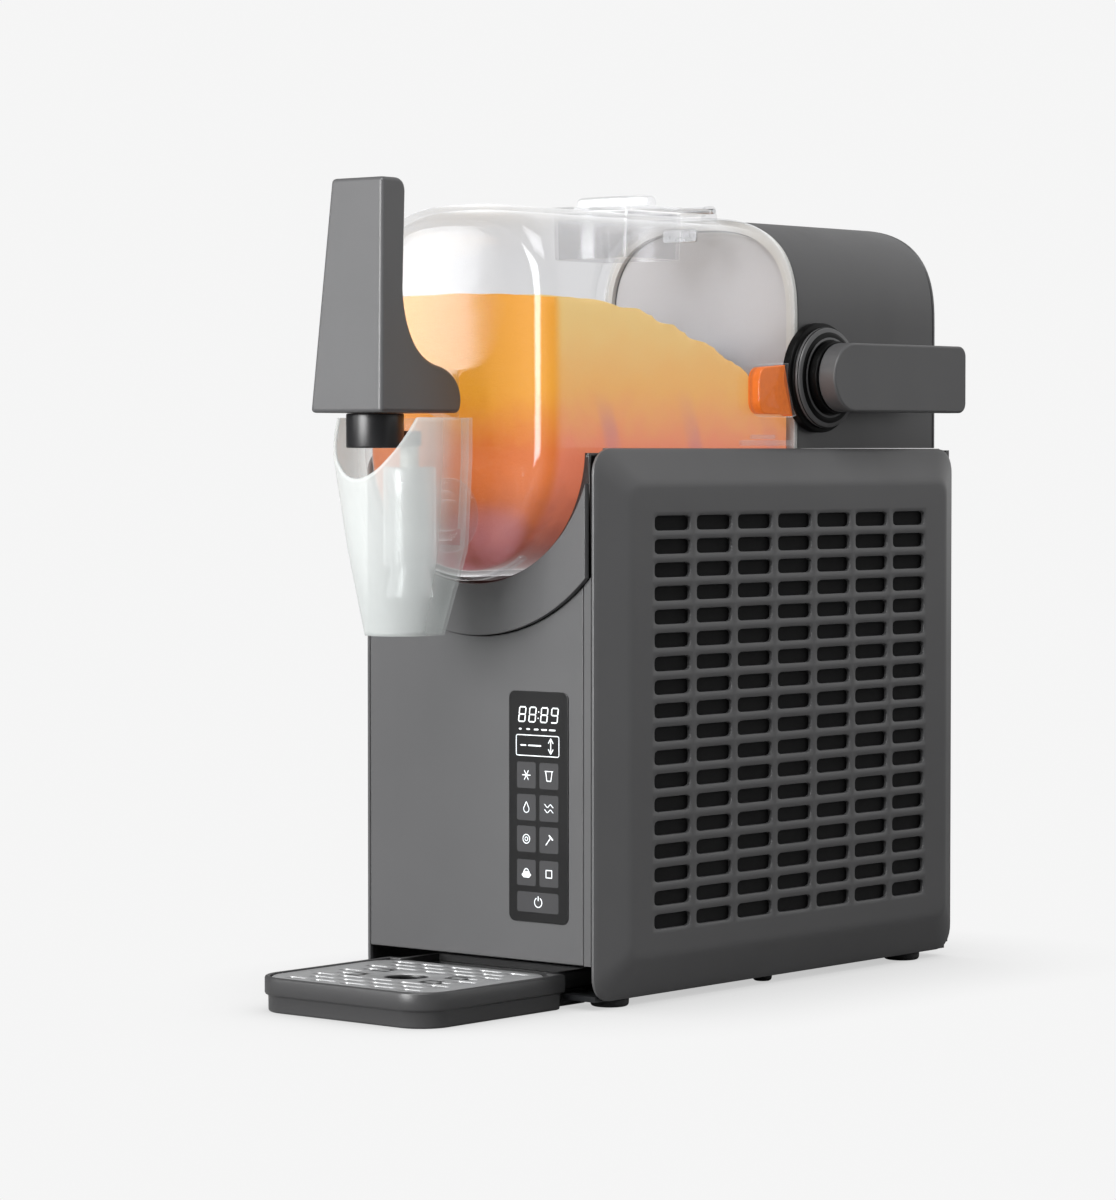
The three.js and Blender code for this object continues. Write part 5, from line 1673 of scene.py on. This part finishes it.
def stage():
    """Camera, floor, backdrop and four soft lamps."""
    scene = bpy.context.scene
    scene.view_settings.view_transform = "Standard"
    scene.cycles.transparent_max_bounces = 24
    camera = bpy.data.cameras.new("camera")
    camera.lens = CAMERA_LENS
    camera.sensor_width = 36.0
    holder = bpy.data.objects.new("camera", camera)
    holder.location = put([CAMERA_PLACE])[0]
    turn = [90 - CAMERA_DROP, 0, CAMERA_TURN]
    holder.rotation_euler = Euler([math.radians(value) for value in turn])
    scene.collection.objects.link(holder)
    scene.camera = holder
    scene.world = studio_world()
    points, faces = prism(rounded(-9000, 9000, -9000, 9000, 200, 8), 2, -20, 0)
    mesh = bpy.data.meshes.new("floor")
    mesh.from_pydata(put(points).tolist(), [], [list(map(int, face)) for face in faces])
    floor = bpy.data.objects.new("floor", mesh)
    scene.collection.objects.link(floor)
    mesh.materials.append(pale_floor("floor"))
    lamp("strip_softbox", (-1372, -1522, 560), (0, 0, 380), 120, 400, 1.6)
    lamp("high_softbox", (-1420, -1520, 1050), (0, 0, 330), 1100, 900, 4.5)
    lamp("front_softbox", (-300, -2300, 700), (0, 0, 260), 1300, 1100, 75)
    lamp("top_softbox", (500, -900, 1700), (0, 60, 200), 1000, 1000, 24)


PAPER = 0.917


def studio_world():
    """Even pale backdrop; as a light it is bright behind on the right and dim in front."""
    world = bpy.data.worlds.new("studio")
    f = Finish("studio", world)
    direction = f.node("ShaderNodeTexCoord", output="Generated")
    x, y, _ = f.split(direction)
    glow = (y * 0.766 + x * 0.35).step(0.1, 0.8) * 0.9 + 0.16
    seen = f.node("ShaderNodeLightPath", output="Is Camera Ray")
    level = seen * PAPER + (1 - seen) * glow
    grey = f.node("ShaderNodeCombineColor", {}, {0: level, 1: level, 2: level})
    background = f.node("ShaderNodeBackground", {}, {"Color": grey})
    return f.close(background, "ShaderNodeOutputWorld")


def pale_floor(name):
    """A floor as pale as the backdrop, a little darker where the machine shuts out light."""
    f = Finish(name)
    open_sky = f.node("ShaderNodeAmbientOcclusion", {"samples": 8}, {"Distance": 0.12}, output="AO")
    level = (open_sky * 0.42 + 0.58) * PAPER
    grey = f.node("ShaderNodeCombineColor", {}, {0: level, 1: level, 2: level})
    paper = f.node("ShaderNodeEmission", {}, {"Color": grey})
    bounce = f.node("ShaderNodeBsdfDiffuse", {}, {"Color": (0.3, 0.3, 0.3, 1)})
    seen = f.node("ShaderNodeLightPath", output="Is Camera Ray")
    mixed = f.node("ShaderNodeMixShader", {}, {0: seen, 1: bounce, 2: paper})
    return f.close(mixed)


def lamp(name, place, target, width, height, power):
    light = bpy.data.lights.new(name, "AREA")
    light.shape = "RECTANGLE"
    light.size = width * MM
    light.size_y = height * MM
    light.energy = power
    holder = bpy.data.objects.new(name, light)
    start, end = put([place])[0], put([target])[0]
    holder.location = start
    holder.rotation_euler = Vector(end - start).to_track_quat("-Z", "Y").to_euler()
    bpy.context.scene.collection.objects.link(holder)


# ---- operators ---------------------------------------------------------------


def both_sides():
    """The left panel is the right one mirrored."""
    for side, sign in (("left", -1), ("right", 1)):
        side_panel(side, sign)


STEPS = [
    ("stage", "Studio", "Camera, soft lights and pale floor", [stage]),
    ("side_panels", "Side Panels", "Dished vented panels on both sides", [both_sides]),
    ("front", "Front", "Front plate, its edge strip and the shelf", [front_plate]),
    ("apron", "Condensate Tray", "Crescent apron and trough under the vessel", [crescent]),
    ("cradle", "Cradle", "Dark trough that the vessel lies in", [cradle_trough]),
    ("tower", "Tower", "Rear tower, its cover and the drum's flange", [tower]),
    ("deck", "Deck and Feet", "Deck strips and rubber feet", [deck_and_plates, feet_and_gland]),
    ("controls", "Control Panel", "Touch glass, keys and display marks", [control_panel]),
    ("vessel", "Vessel", "Clear vessel with its fittings", [vessel_shell, vessel_fittings]),
    ("slush", "Slush", "Frozen drink in the vessel", [slush]),
    ("auger", "Drum and Auger", "Cold drum, auger and gasket", [drum_and_auger, gasket]),
    ("spout", "Spout", "Spout tube, plunger and frosted sleeve", [spout, shroud]),
    ("handle", "Handle", "Dispensing handle", [handle]),
    ("lever", "Lock Lever", "Lock lever, hub and collar", [lock_lever]),
    ("lid", "Lid", "Clear lid with its grip", [lid]),
    ("trays", "Drip Tray", "Drip tray and its grille", [drip_tray, drip_grille]),
    ("inside", "Inner Pieces", "Finishes of the kept inner pieces", [kept_nodes]),
]


def make_operator(key, label, text, actions):
    def execute(self, context):
        for action in actions:
            action()
        return {"FINISHED"}

    fields = {
        "bl_idname": f"slush_machine.{key}",
        "bl_label": label,
        "__doc__": text,
        "execute": execute,
    }
    return type(f"SLUSH_OT_{key}", (bpy.types.Operator,), fields)


OPERATORS = [make_operator(*step) for step in STEPS]


class SLUSH_PT_panel(bpy.types.Panel):
    bl_label = "Slush Machine"
    bl_idname = "SLUSH_PT_panel"
    bl_space_type = "VIEW_3D"
    bl_region_type = "UI"
    bl_category = "Slush Machine"

    def draw(self, context):
        layout = self.layout
        for key, *_ in STEPS:
            layout.operator(f"slush_machine.{key}")
        for group in (context.scene.slush_sizes, context.scene.slush_colours):
            for name in group.__annotations__:
                layout.prop(group, name)


CLASSES = [SlushSizes, SlushColours, *OPERATORS, SLUSH_PT_panel]


def register():
    for cls in CLASSES:
        bpy.utils.register_class(cls)
    bpy.types.Scene.slush_sizes = PointerProperty(type=SlushSizes)
    bpy.types.Scene.slush_colours = PointerProperty(type=SlushColours)


def unregister():
    del bpy.types.Scene.slush_colours
    del bpy.types.Scene.slush_sizes
    for cls in reversed(CLASSES):
        bpy.utils.unregister_class(cls)


def main():
    register()
    for key, *_ in STEPS:
        getattr(bpy.ops.slush_machine, key)()
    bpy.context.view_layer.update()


if __name__ == "__main__":
    main()
